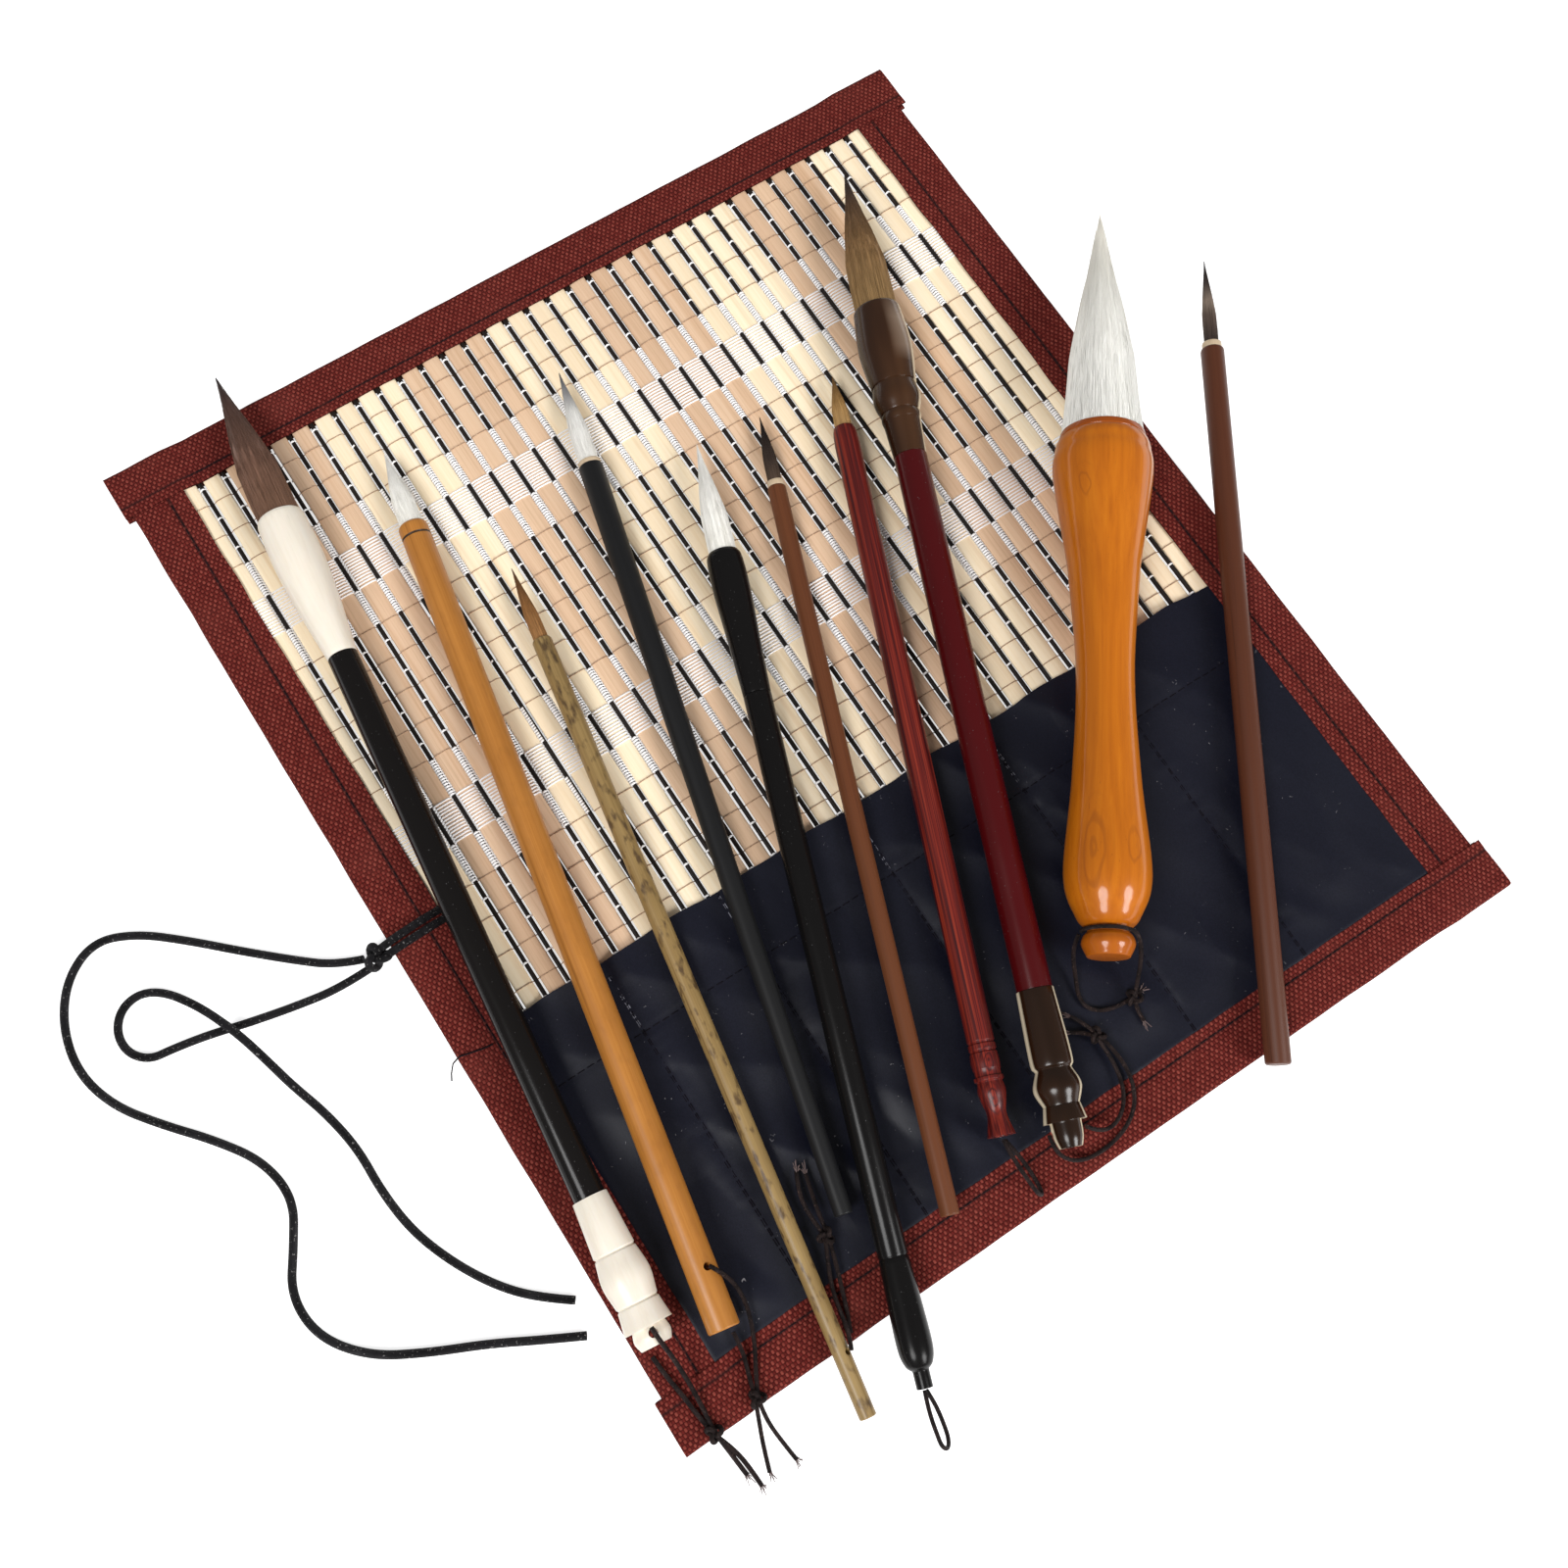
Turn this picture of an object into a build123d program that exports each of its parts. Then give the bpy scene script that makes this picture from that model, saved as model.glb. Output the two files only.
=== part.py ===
from build123d import *

import math
import os

# A roll-up bamboo mat for writing brushes, laid out flat with ten brushes on it. Millimetres.
# Origin: middle of the mat's near edge, on its underside. +X runs across the slats, +Y along them
# to the far edge, +Z up.

# Mat: slats, the thin dyed reeds between them, and where the mat folds as it rolls up.
mat_height = 330.0
slat_count = 33
slat_pitch = 7.62
slat_width = 5.4
slat_thickness = 1.5
slat_crown = 0.45
reed_diameter = 1.36
slats_before_fold = (4, 10, 16, 21, 27)
side_tape_beyond_slats = 14.27
fold_clearance = 0.15

# Cloth tape folded over the mat's four edges, and the cloth pocket sewn over the lower part.
tape_thickness = 0.6
tape_clearance = 0.15
tape_edge_rounding = 0.5
side_tape_width = 17.0
end_tape_width = 16.0
end_tape_overhang = 2.0
slat_tuck = 6.0
pocket_top = 123.0
pocket_hem_depth = 23.0
pocket_cloth = 0.5
pocket_hem_cloth = 0.9
pocket_puff = 1.2
pocket_seam_width = 1.6
thread_height = 0.4

# Fits shared by the brushes.
rest_clearance = 0.3
glue_gap = 0.05
socket_depth = 8.0
tenon_length = 9.0
tenon_wall = 1.6
hair_tip = 0.3
plain_rounding = 0.6
ring_width = 0.5
ring_depth = 0.2

# Brushes: where the hair leaves the brush, on the mat, and how far the handle swings from -Y.
# Brush 1: ivory coloured ferrule and cap on a black handle.
brush_1_at = (-102.9, 290.5)
brush_1_heading = -6.62
brush_1_tuft_length = 47.5
brush_1_tuft_diameter = 11.8
brush_1_ferrule_length = 52.0
brush_1_ferrule_mouth = 13.4
brush_1_ferrule_belly = 14.9
brush_1_handle_length = 170.5
brush_1_handle_diameter = 8.9
brush_1_cap_length = 36.6
brush_1_cap_diameter = 13.7
brush_1_knob_length = 5.2
brush_1_knob_diameter = 10.4
brush_1_hole_diameter = 2.6

# Brush 2: plain golden bamboo.
brush_2_at = (-70.9, 267.3)
brush_2_heading = -10.53
brush_2_tuft_length = 23.5
brush_2_tuft_diameter = 6.6
brush_2_handle_length = 250.0
brush_2_handle_diameter = 8.9
brush_2_hole_from_end = 16.4
brush_2_hole_diameter = 2.2

# Brush 3: thin speckled bamboo.
brush_3_at = (-57.5, 213.6)
brush_3_heading = -9.70
brush_3_tuft_length = 24.3
brush_3_tuft_diameter = 4.2
brush_3_handle_length = 234.5
brush_3_handle_diameter = 5.9
brush_3_end_diameter = 4.8
brush_3_hole_from_end = 17.2
brush_3_hole_diameter = 1.8

# Brush 4: matt black handle with a pale collar.
brush_4_at = (-15.5, 255.9)
brush_4_heading = -14.43
brush_4_tuft_length = 31.8
brush_4_tuft_diameter = 6.0
brush_4_collar_length = 1.4
brush_4_handle_length = 233.3
brush_4_handle_diameter = 7.5
brush_4_end_diameter = 5.2

# Brush 5: gloss black, with a swelling head and a rounded end with a neck.
brush_5_at = (2.9, 209.9)
brush_5_heading = -20.0
brush_5_tuft_length = 34.2
brush_5_tuft_diameter = 7.6
brush_5_head_length = 47.9
brush_5_head_mouth = 9.0
brush_5_head_belly = 11.2
brush_5_handle_length = 162.3
brush_5_handle_diameter = 8.3
brush_5_bulb_diameter = 9.6
brush_5_bulb_length = 29.4
brush_5_neck_length = 4.6
brush_5_neck_diameter = 4.5

# Brush 6: thin red-brown handle with a pale collar.
brush_6_at = (29.2, 220.7)
brush_6_heading = -20.9
brush_6_tuft_length = 22.3
brush_6_tuft_diameter = 4.0
brush_6_collar_length = 1.9
brush_6_handle_length = 220.6
brush_6_handle_diameter = 5.7
brush_6_end_diameter = 5.3

# Brush 7: red hardwood with a turned end.
brush_7_at = (56.8, 224.3)
brush_7_heading = -22.48
brush_7_tuft_length = 18.0
brush_7_tuft_diameter = 5.0
brush_7_handle_length = 218.4
brush_7_handle_diameter = 7.8
brush_7_mouth_diameter = 6.4
brush_7_turned_length = 26.4
brush_7_waist_diameter = 5.4

# Brush 8: horn ferrule and cap on a crimson handle.
brush_8_at = (87.9, 254.6)
brush_8_heading = -22.32
brush_8_tuft_length = 45.5
brush_8_tuft_diameter = 11.8
brush_8_ferrule_length = 52.3
brush_8_ferrule_mouth = 13.8
brush_8_ferrule_belly = 16.8
brush_8_ferrule_bead = 14.9
brush_8_ferrule_ring = 12.4
brush_8_handle_length = 168.8
brush_8_handle_diameter = 10.1
brush_8_cap_length = 36.6
brush_8_cap_ball = 13.5
brush_8_knob_length = 7.0
brush_8_knob_diameter = 8.8
brush_8_hole_diameter = 2.2

# Brush 9: large white brush with an amber gourd shaped handle.
brush_9_at = (121.4, 180.9)
brush_9_heading = -35.54
brush_9_tuft_length = 70.0
brush_9_tuft_diameter = 23.6
brush_9_handle_length = 158.0
brush_9_mouth_diameter = 25.4
brush_9_head_diameter = 29.6
brush_9_grip_diameter = 16.9
brush_9_bulb_diameter = 24.8
brush_9_neck_diameter = 11.8
brush_9_neck_length = 1.0
brush_9_knob_length = 6.6
brush_9_knob_diameter = 15.0

# Brush 10: brown handle with a pale collar.
brush_10_at = (171.2, 186.7)
brush_10_heading = -32.5
brush_10_tuft_length = 29.7
brush_10_tuft_diameter = 4.3
brush_10_collar_length = 2.0
brush_10_handle_length = 223.8
brush_10_handle_diameter = 7.3

# Cords. Each route is a list of points on the cord's own centre line. The tie cord's points are
# measured from the mat's left edge, the hanging loops' from the middle of the near edge.
tie_cord_diameter = 2.4
tie_knot_diameter = 6.8
tie_knot_at = (-4.4, 158.2, 3.6)
tie_strands = (
    [
        (18.2, 160.6, 3.6),
        (13.6, 160.5, 4.4),
        (7.0, 160.3, 4.5),
        (1.4, 160.0, 4.4),
        (-3.2, 159.6, 4.0),
    ],
    [
        (18.2, 157.6, 3.6),
        (13.6, 157.5, 4.4),
        (7.0, 157.3, 4.5),
        (1.4, 157.1, 4.4),
        (-3.2, 156.9, 4.0),
    ],
)
tie_long_route = [
    (-7.8, 159.8, 3.0),
    (-15.4, 163.0, 1.6),
    (-24.0, 170.2, 1.25),
    (-35.4, 180.6, 1.25),
    (-46.6, 191.4, 1.25),
    (-57.4, 200.6, 1.25),
    (-68.6, 205.2, 1.25),
    (-79.4, 199.6, 1.25),
    (-86.4, 188.4, 1.25),
    (-88.6, 174.6, 1.25),
    (-84.6, 161.4, 1.25),
    (-75.8, 149.6, 1.25),
    (-66.0, 138.4, 1.25),
    (-57.8, 126.4, 1.25),
    (-55.6, 113.4, 1.25),
    (-61.6, 102.4, 1.25),
    (-68.4, 91.6, 1.25),
    (-67.4, 78.4, 1.25),
    (-58.4, 66.8, 1.25),
    (-44.8, 59.0, 1.25),
    (-30.6, 52.4, 1.25),
    (-18.6, 45.6, 1.25),
    (-8.0, 40.0, 1.25),
]
tie_short_route = [
    (-8.0, 156.6, 2.8),
    (-17.4, 156.6, 1.4),
    (-30.2, 158.8, 1.25),
    (-42.6, 161.6, 1.25),
    (-54.4, 164.8, 1.25),
    (-64.2, 166.6, 1.25),
    (-70.6, 167.3, 1.25),
    (-74.9, 172.2, 1.25),
    (-74.9, 178.8, 1.25),
    (-70.9, 184.0, 1.25),
    (-64.6, 185.3, 1.25),
    (-58.6, 181.8, 1.5),
    (-53.4, 174.4, 2.8),
    (-49.4, 166.6, 4.4),
    (-46.2, 158.4, 4.4),
    (-43.8, 149.6, 2.8),
    (-41.4, 140.0, 1.4),
    (-37.4, 128.4, 1.25),
    (-34.8, 115.4, 1.25),
    (-35.0, 101.8, 1.25),
    (-33.2, 88.4, 1.25),
    (-28.2, 75.4, 1.25),
    (-21.4, 63.8, 1.25),
    (-13.6, 55.2, 1.25),
    (-5.9, 49.4, 1.25),
]

# Hanging loops: two strands from the brush to a knot, each ending in a short tail.
loop_knot_diameter = 3.8
brush_1_loop_diameter = 1.3
brush_1_loop_knot_at = (-132.7, 1.2, 5.4)
brush_1_loop_routes = (
    [
        (-132.0, 32.5, 16.6),
        (-131.9, 28.4, 16.3),
        (-131.4, 22.8, 12.2),
        (-131.4, 16.0, 7.0),
        (-131.8, 8.8, 4.6),
        (-132.5, 1.6, 5.3),
        (-131.8, -5.4, 2.8),
        (-131.2, -12.4, 0.9),
    ],
    [
        (-136.2, 26.0, 3.8),
        (-135.8, 20.2, 3.9),
        (-134.7, 13.8, 4.0),
        (-134.0, 7.4, 4.3),
        (-132.9, 1.2, 5.3),
        (-130.7, -4.8, 3.2),
        (-129.6, -10.8, 1.3),
        (-129.4, -16.8, 0.8),
    ],
)
brush_2_loop_diameter = 1.2
brush_2_loop_knot_at = (-118.8, 2.2, 5.3)
brush_2_loop_routes = (
    [
        (-111.3, 37.2, 15.2),
        (-109.3, 34.0, 14.2),
        (-107.8, 28.4, 9.8),
        (-108.6, 21.8, 5.8),
        (-111.4, 14.8, 4.6),
        (-115.2, 8.2, 4.2),
        (-118.5, 2.3, 5.2),
        (-119.5, -4.0, 2.9),
        (-119.1, -10.4, 1.1),
        (-118.3, -16.4, 0.8),
    ],
    [
        (-115.0, 19.6, 5.4),
        (-115.4, 14.1, 4.8),
        (-117.4, 8.4, 4.3),
        (-119.0, 2.6, 5.2),
        (-121.6, -3.4, 3.0),
        (-124.0, -9.4, 1.2),
        (-125.9, -15.2, 0.8),
    ],
)
brush_3_loop_diameter = 1.2
brush_3_loop_knot_at = (-80.9, 26.6, 6.5)
brush_3_loop_routes = (
    [
        (-91.5, -1.0, 9.9),
        (-89.5, 2.8, 8.2),
        (-88.4, 8.6, 5.2),
        (-86.8, 15.0, 5.0),
        (-84.0, 21.0, 5.6),
        (-81.1, 26.6, 6.4),
        (-81.6, 33.4, 5.7),
        (-81.0, 39.8, 5.4),
        (-78.2, 45.2, 5.4),
    ],
    [
        (-89.0, 2.2, 4.0),
        (-86.6, 7.6, 4.0),
        (-84.6, 13.4, 4.9),
        (-82.4, 19.6, 5.7),
        (-80.5, 26.1, 6.4),
        (-79.2, 32.6, 5.7),
        (-77.8, 38.4, 5.4),
        (-76.4, 43.4, 5.4),
    ],
)
brush_5_loop_diameter = 0.85
brush_5_loop_routes = (
    [
        (-81.0, -19.8, 9.4),
        (-82.4, -23.0, 9.9),
        (-83.6, -26.8, 9.8),
        (-84.4, -30.4, 9.4),
        (-85.0, -33.4, 8.9),
        (-84.4, -35.1, 7.3),
        (-83.2, -35.1, 5.2),
        (-82.0, -33.4, 3.8),
        (-81.3, -30.6, 4.2),
        (-80.7, -27.2, 5.2),
        (-80.4, -23.7, 6.7),
        (-80.5, -20.3, 8.3),
    ],
)
brush_7_loop_diameter = 0.85
brush_7_loop_routes = (
    [
        (-26.9, 21.5, 11.3),
        (-27.4, 17.8, 11.4),
        (-27.5, 13.6, 11.0),
        (-27.3, 9.2, 10.2),
        (-27.0, 5.4, 9.2),
        (-26.2, 3.7, 7.3),
        (-25.2, 3.7, 5.1),
        (-24.5, 5.4, 3.6),
        (-24.2, 9.2, 3.7),
        (-24.5, 13.1, 5.0),
        (-25.2, 17.3, 7.0),
        (-26.2, 20.8, 9.2),
    ],
)
brush_8_loop_diameter = 1.2
brush_8_loop_knot_at = (12.7, 30.4, 6.4)
brush_8_loop_routes = (
    [
        (-5.8, 12.0, 11.4),
        (-3.6, 9.4, 8.8),
        (0.6, 7.6, 6.2),
        (5.2, 8.6, 4.8),
        (8.9, 11.8, 4.8),
        (11.2, 16.4, 5.2),
        (12.2, 21.4, 5.5),
        (12.4, 26.2, 5.8),
        (12.2, 30.4, 6.3),
        (9.6, 33.4, 5.7),
        (6.8, 35.2, 5.4),
    ],
    [
        (-15.9, 15.4, 11.4),
        (-16.4, 11.1, 9.0),
        (-14.0, 6.8, 6.2),
        (-9.6, 4.4, 4.4),
        (-4.2, 3.8, 4.0),
        (1.2, 4.3, 4.0),
        (6.5, 6.0, 4.0),
        (10.9, 9.2, 4.1),
        (13.6, 14.0, 4.9),
        (14.6, 19.6, 5.4),
        (14.2, 25.2, 5.7),
        (12.9, 30.6, 6.3),
        (11.6, 35.2, 5.6),
        (9.6, 38.8, 5.4),
    ],
)
brush_9_loop_diameter = 1.2
brush_9_loop_knot_at = (27.6, 33.3, 6.4)
brush_9_loop_routes = (
    [
        (23.3, 56.3, 16.1),
        (23.6, 56.1, 20.9),
        (26.8, 53.8, 24.4),
        (31.3, 50.6, 24.6),
        (34.8, 47.4, 21.9),
        (34.6, 43.6, 17.6),
        (32.7, 39.6, 12.9),
        (30.4, 36.4, 8.9),
        (27.8, 33.1, 6.3),
        (26.5, 29.6, 5.3),
        (26.5, 26.4, 5.1),
    ],
    [
        (22.9, 56.0, 13.7),
        (20.3, 54.2, 11.9),
        (18.3, 50.7, 9.5),
        (16.7, 46.4, 6.9),
        (14.9, 42.5, 5.5),
        (14.8, 38.5, 5.1),
        (17.6, 35.4, 5.1),
        (22.0, 33.8, 5.3),
        (27.1, 33.4, 6.1),
        (31.0, 33.8, 5.2),
    ],
)

# Derived sizes of the mat.
middle_line = mat_height / 2
slat_bottom = tape_thickness + tape_clearance
slat_top = slat_bottom + slat_thickness
mat_thickness = slat_top + tape_clearance + tape_thickness
tape_upper = mat_thickness - tape_thickness
slat_length = mat_height - 2 * (end_tape_width - slat_tuck)
field_width = slat_count * slat_pitch
half_width = field_width / 2 + side_tape_beyond_slats
left_edge = Pos(-half_width, 0, 0)
folds = [(count - slat_count / 2) * slat_pitch for count in slats_before_fold]
strip_count = len(folds) + 1
pocket_bottom = end_tape_width + tape_clearance
pocket_floor = slat_top + tape_clearance
pocket_crown = pocket_floor + pocket_hem_cloth + pocket_puff


def save(shape, name):
    export_step(shape, "parts/" + name + ".step")


def strip_span(index, outer):
    """The span of strip `index` along X, where the mat itself ends at +-outer."""
    left = -outer if index == 0 else folds[index - 1] + fold_clearance
    right = outer if index == strip_count - 1 else folds[index] - fold_clearance
    return left, right


# ---------------------------------------------------------------- mat


def slat(centre):
    """One bamboo slat: flat below, crowned above."""
    side = slat_width / 2
    shoulder = slat_top - slat_crown
    outline = Polyline((-side, shoulder), (-side, slat_bottom), (side, slat_bottom), (side, shoulder))
    crown = ThreePointArc((side, shoulder), (0, slat_top), (-side, shoulder))
    section = Plane.XZ * make_face(outline + crown)
    return Pos(centre, middle_line, 0) * extrude(section, slat_length / 2, both=True)


def reed(centre):
    """One thin round reed, lying between two slats."""
    height = slat_bottom + slat_thickness / 2
    return Pos(centre, middle_line, height) * Rot(90, 0, 0) * Cylinder(reed_diameter / 2, slat_length)


def woven_strip(index):
    """The slats of one strip and the reeds between them, the reed in the next fold included."""
    first = slats_before_fold[index - 1] if index else 0
    last = slats_before_fold[index] if index < strip_count - 1 else slat_count
    slats = [slat((number + 0.5 - slat_count / 2) * slat_pitch) for number in range(first, last)]
    reeds = [
        reed((number + 1 - slat_count / 2) * slat_pitch)
        for number in range(first, last)
        if number < slat_count - 1
    ]
    return Compound(children=slats + reeds)


def folded_tape(outer, inner, web):
    """Section of tape folded over an edge, from `outer` in to `inner`, closed out to `web`."""
    lower = Polyline((inner, tape_thickness), (inner, 0), (outer, 0), (outer, mat_thickness))
    upper = Polyline((outer, mat_thickness), (inner, mat_thickness), (inner, tape_upper), (web, tape_upper))
    mouth = Polyline((web, tape_upper), (web, tape_thickness), (inner, tape_thickness))
    section = make_face(lower + upper + mouth)
    rim = section.vertices().sort_by(Axis.X)[-2:]
    return fillet(rim, tape_edge_rounding)


def end_tape(left, right, side):
    """Tape over the slats' ends, from `left` to `right`, at the far (+1) or near (-1) edge."""
    web = slat_length / 2 + tape_clearance
    section = folded_tape(mat_height / 2, mat_height / 2 - end_tape_width, web)
    tape = extrude(Plane.YZ * section, right - left)
    return Pos(left, middle_line, 0) * (tape if side > 0 else mirror(tape, Plane.XZ))


def side_tape(side):
    """Tape down the left or right edge of the mat, between the end tapes."""
    web = field_width / 2 + tape_clearance
    section = Plane.XZ * folded_tape(half_width, half_width - side_tape_width, web)
    tape = extrude(section, mat_height / 2 - tape_edge_rounding, both=True)
    return Pos(0, middle_line, 0) * (tape if side > 0 else mirror(tape, Plane.YZ))


def edge_frame(index):
    """The side tape of an outer strip with the two end tapes sewn over its ends."""
    side = -1 if index == 0 else 1
    left, right = strip_span(index, half_width + end_tape_overhang)
    return side_tape(side) + end_tape(left, right, 1) + end_tape(left, right, -1)


def pocket_section(left, right, cloth):
    """Section across one pocket channel: flat at its two seams, puffed up between them."""
    seam_left = left + pocket_seam_width
    seam_right = right - pocket_seam_width
    middle = (left + right) / 2
    top = pocket_floor + cloth
    crown = pocket_floor + pocket_puff
    under = [
        Line((left, pocket_floor), (seam_left, pocket_floor)),
        ThreePointArc((seam_left, pocket_floor), (middle, crown), (seam_right, pocket_floor)),
        Line((seam_right, pocket_floor), (right, pocket_floor)),
    ]
    over = [
        Line((right, top), (seam_right, top)),
        ThreePointArc((seam_right, top), (middle, top + pocket_puff), (seam_left, top)),
        Line((seam_left, top), (left, top)),
    ]
    ends = [Line((right, pocket_floor), (right, top)), Line((left, top), (left, pocket_floor))]
    return Plane.XZ * make_face(under + over + ends)


def pocket_channel(index):
    """One channel of the cloth pocket, with the double hem along its mouth."""
    left, right = strip_span(index, half_width - side_tape_width - tape_clearance)
    hem_line = pocket_top - pocket_hem_depth
    hem = extrude(pocket_section(left, right, pocket_hem_cloth), pocket_hem_depth)
    cloth = extrude(pocket_section(left, right, pocket_cloth), hem_line - pocket_bottom)
    return Pos(0, pocket_top, 0) * hem + Pos(0, hem_line, 0) * cloth


# ---------------------------------------------------------------- brushes


def ground(x, y):
    """Height of what a brush can touch under the point (x, y): the mat, or the table beside it."""
    from_end = min(y, mat_height - y)
    if abs(x) > half_width + end_tape_overhang or from_end < 0:
        return 0
    if abs(x) > half_width - side_tape_width or from_end < end_tape_width:
        return mat_thickness
    if y < pocket_top:
        return pocket_crown
    return slat_top + thread_height


def lie_on_mat(outline, at, heading):
    """Plane of a brush at rest: its origin where the hair leaves it, its +Z along the handle.

    The outline lists (distance along the brush, diameter). The brush settles on two points of
    the mat, one each side of its balance point, as a straight stick does.
    """
    turn = math.radians(heading)
    along = (math.sin(turn), -math.cos(turn))
    need = []
    weights = []
    for (near, near_size), (far, far_size) in zip(outline, outline[1:]):
        steps = max(1, round((far - near) / 2))
        for step in range(steps + 1):
            share = step / steps
            station = near + (far - near) * share
            radius = (near_size + (far_size - near_size) * share) / 2
            height = ground(at[0] + along[0] * station, at[1] + along[1] * station)
            need.append((station, height + rest_clearance + radius))
            weights.append((radius**2, station))
    balance = sum(weight * station for weight, station in weights) / sum(weight for weight, _ in weights)
    level, slope = max(
        (
            (near_height + (balance - near) / (far - near) * (far_height - near_height)),
            (far_height - near_height) / (far - near),
        )
        for near, near_height in need
        for far, far_height in need
        if near < balance < far
    )
    tilt = math.atan(slope)
    direction = (along[0] * math.cos(tilt), along[1] * math.cos(tilt), math.sin(tilt))
    origin = (at[0], at[1], level - balance * slope)
    return Plane(origin=origin, x_dir=(math.cos(turn), math.sin(turn), 0), z_dir=direction)


def turned(*stretches):
    """A solid of revolution. Each stretch lists (distance, diameter); three or more are a curve."""
    points = [[(size / 2, station) for station, size in stretch] for stretch in stretches]
    start = points[0][0]
    end = points[-1][-1]
    edges = []
    if start[0] > 0:
        edges.append(Line((0, start[1]), start))
    for number, stretch in enumerate(points):
        if number and math.dist(points[number - 1][-1], stretch[0]) > 0.001:
            edges.append(Line(points[number - 1][-1], stretch[0]))
        edges.append(Line(*stretch) if len(stretch) == 2 else Spline(*stretch))
    if end[0] > 0:
        edges.append(Line(end, (0, end[1])))
    edges.append(Line((0, end[1]), (0, start[1])))
    return revolve(Plane.XZ * make_face(edges), Axis.Z)


def tuft(length, diameter, belly=1.06):
    """A pointed hair tuft with the root that is glued into the brush's head."""
    return turned(
        (
            (-length, hair_tip),
            (-0.75 * length, 0.36 * diameter),
            (-0.35 * length, belly * 0.92 * diameter),
            (0, diameter),
        ),
        ((0, diameter), (socket_depth, diameter)),
    )


def socket(diameter):
    """The bore that a tuft's root is glued into."""
    depth = socket_depth + glue_gap
    return Pos(0, 0, depth / 2) * Cylinder(diameter / 2 + glue_gap, depth)


def tenon_diameter(outer):
    return outer - 2 * tenon_wall


def mortise(outer, station):
    """The bore at `station` that takes the tenon of a handle of diameter `outer`."""
    depth = tenon_length + glue_gap
    return Pos(0, 0, station + depth / 2) * Cylinder(tenon_diameter(outer) / 2 + glue_gap, depth)


def groove(station, size, depth=0.45, width=0.5):
    """A fine turned line round a brush, as a stretch of its outline."""
    bottom = (station, size - 2 * depth)
    return ((station - width, size), bottom), (bottom, (station + width, size))


def cross_hole(station, diameter, lean, reach):
    """A hole across a brush at `station`, its direction leaning from straight up by `lean` degrees."""
    return Pos(0, 0, station) * Rot(0, 0, -lean) * Rot(90, 0, 0) * Cylinder(diameter / 2, reach)


def brush_1():
    """Long brown hair, a flared ferrule, a round black handle and a turned cap with a knob."""
    handle_start = brush_1_ferrule_length
    handle_end = handle_start + brush_1_handle_length
    cap_end = handle_end + brush_1_cap_length
    size = brush_1_handle_diameter
    tenon = tenon_diameter(size)
    joint_start = handle_start - tenon_length - glue_gap
    ferrule = turned(
        (
            (0, brush_1_ferrule_mouth),
            (0.32 * handle_start, brush_1_ferrule_belly),
            (0.62 * handle_start, 0.3 * size + 0.7 * brush_1_ferrule_belly),
            (handle_start, size),
        )
    )
    handle = turned(
        ((handle_start - tenon_length, tenon), (handle_start, tenon)),
        ((handle_start, size), (handle_end, size)),
        ((handle_end, tenon), (handle_end + tenon_length, tenon)),
    )
    waist = 0.86 * brush_1_cap_diameter
    bead_start = handle_end + 0.43 * brush_1_cap_length
    bead_end = handle_end + 0.82 * brush_1_cap_length
    cap = turned(
        ((handle_end, size + 1), (bead_start - 0.5, waist)),
        *groove(bead_start, waist),
        (
            (bead_start + 0.5, waist),
            ((bead_start + bead_end) / 2, brush_1_cap_diameter),
            (bead_end - 0.5, waist),
        ),
        *groove(bead_end, waist),
        (
            (bead_end + 0.5, waist),
            (bead_end + 3, 0.91 * brush_1_cap_diameter),
            (cap_end, brush_1_cap_diameter),
        ),
        (
            (cap_end, 0.9 * brush_1_knob_diameter),
            (cap_end + 0.5 * brush_1_knob_length, brush_1_knob_diameter),
            (cap_end + brush_1_knob_length, 0.84 * brush_1_knob_diameter),
        ),
    )
    hole = cross_hole(cap_end + 2.0, brush_1_hole_diameter, 8, 2 * brush_1_knob_diameter)
    return {
        "tuft": tuft(brush_1_tuft_length, brush_1_tuft_diameter),
        "ferrule": ferrule - socket(brush_1_tuft_diameter) - mortise(size, joint_start),
        "handle": handle,
        "cap": cap - mortise(size, handle_end) - hole,
    }, [
        (-brush_1_tuft_length, 0),
        (0, brush_1_ferrule_mouth),
        (0.32 * handle_start, brush_1_ferrule_belly),
        (handle_start, size),
        (handle_end, size + 1),
        (cap_end, brush_1_cap_diameter),
        (cap_end + brush_1_knob_length, brush_1_knob_diameter),
    ]


def plain_brush(tuft_length, tuft_diameter, collar, length, diameter, end_diameter, mouth=1.0, grooves=()):
    """A straight or tapering handle, with a pale collar round the hair where `collar` isn't zero."""
    end = collar + length
    near = (collar + plain_rounding, diameter)
    handle = turned(((collar, diameter - mouth), near), (near, (end, end_diameter)))
    for station in grooves:
        ring = Cylinder(diameter, ring_width) - Cylinder(diameter / 2 - ring_depth, ring_width)
        handle -= Pos(0, 0, station) * ring
    bore = socket(tuft_diameter)
    pieces = {"tuft": tuft(tuft_length, tuft_diameter), "handle": handle - bore}
    if collar:
        pieces["collar"] = turned(((0, diameter - mouth), (collar, diameter - mouth))) - bore
    return pieces, [(-tuft_length, 0), (0, diameter), (end, end_diameter)]


def brush_2():
    """Thick golden bamboo with one inked line near the hair and a cord hole near the end."""
    pieces, outline = plain_brush(
        brush_2_tuft_length,
        brush_2_tuft_diameter,
        0,
        brush_2_handle_length,
        brush_2_handle_diameter,
        brush_2_handle_diameter,
        grooves=(4.2,),
    )
    station = brush_2_handle_length - brush_2_hole_from_end
    pieces["handle"] -= cross_hole(station, brush_2_hole_diameter, 25, 2 * brush_2_handle_diameter)
    return pieces, outline


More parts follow.
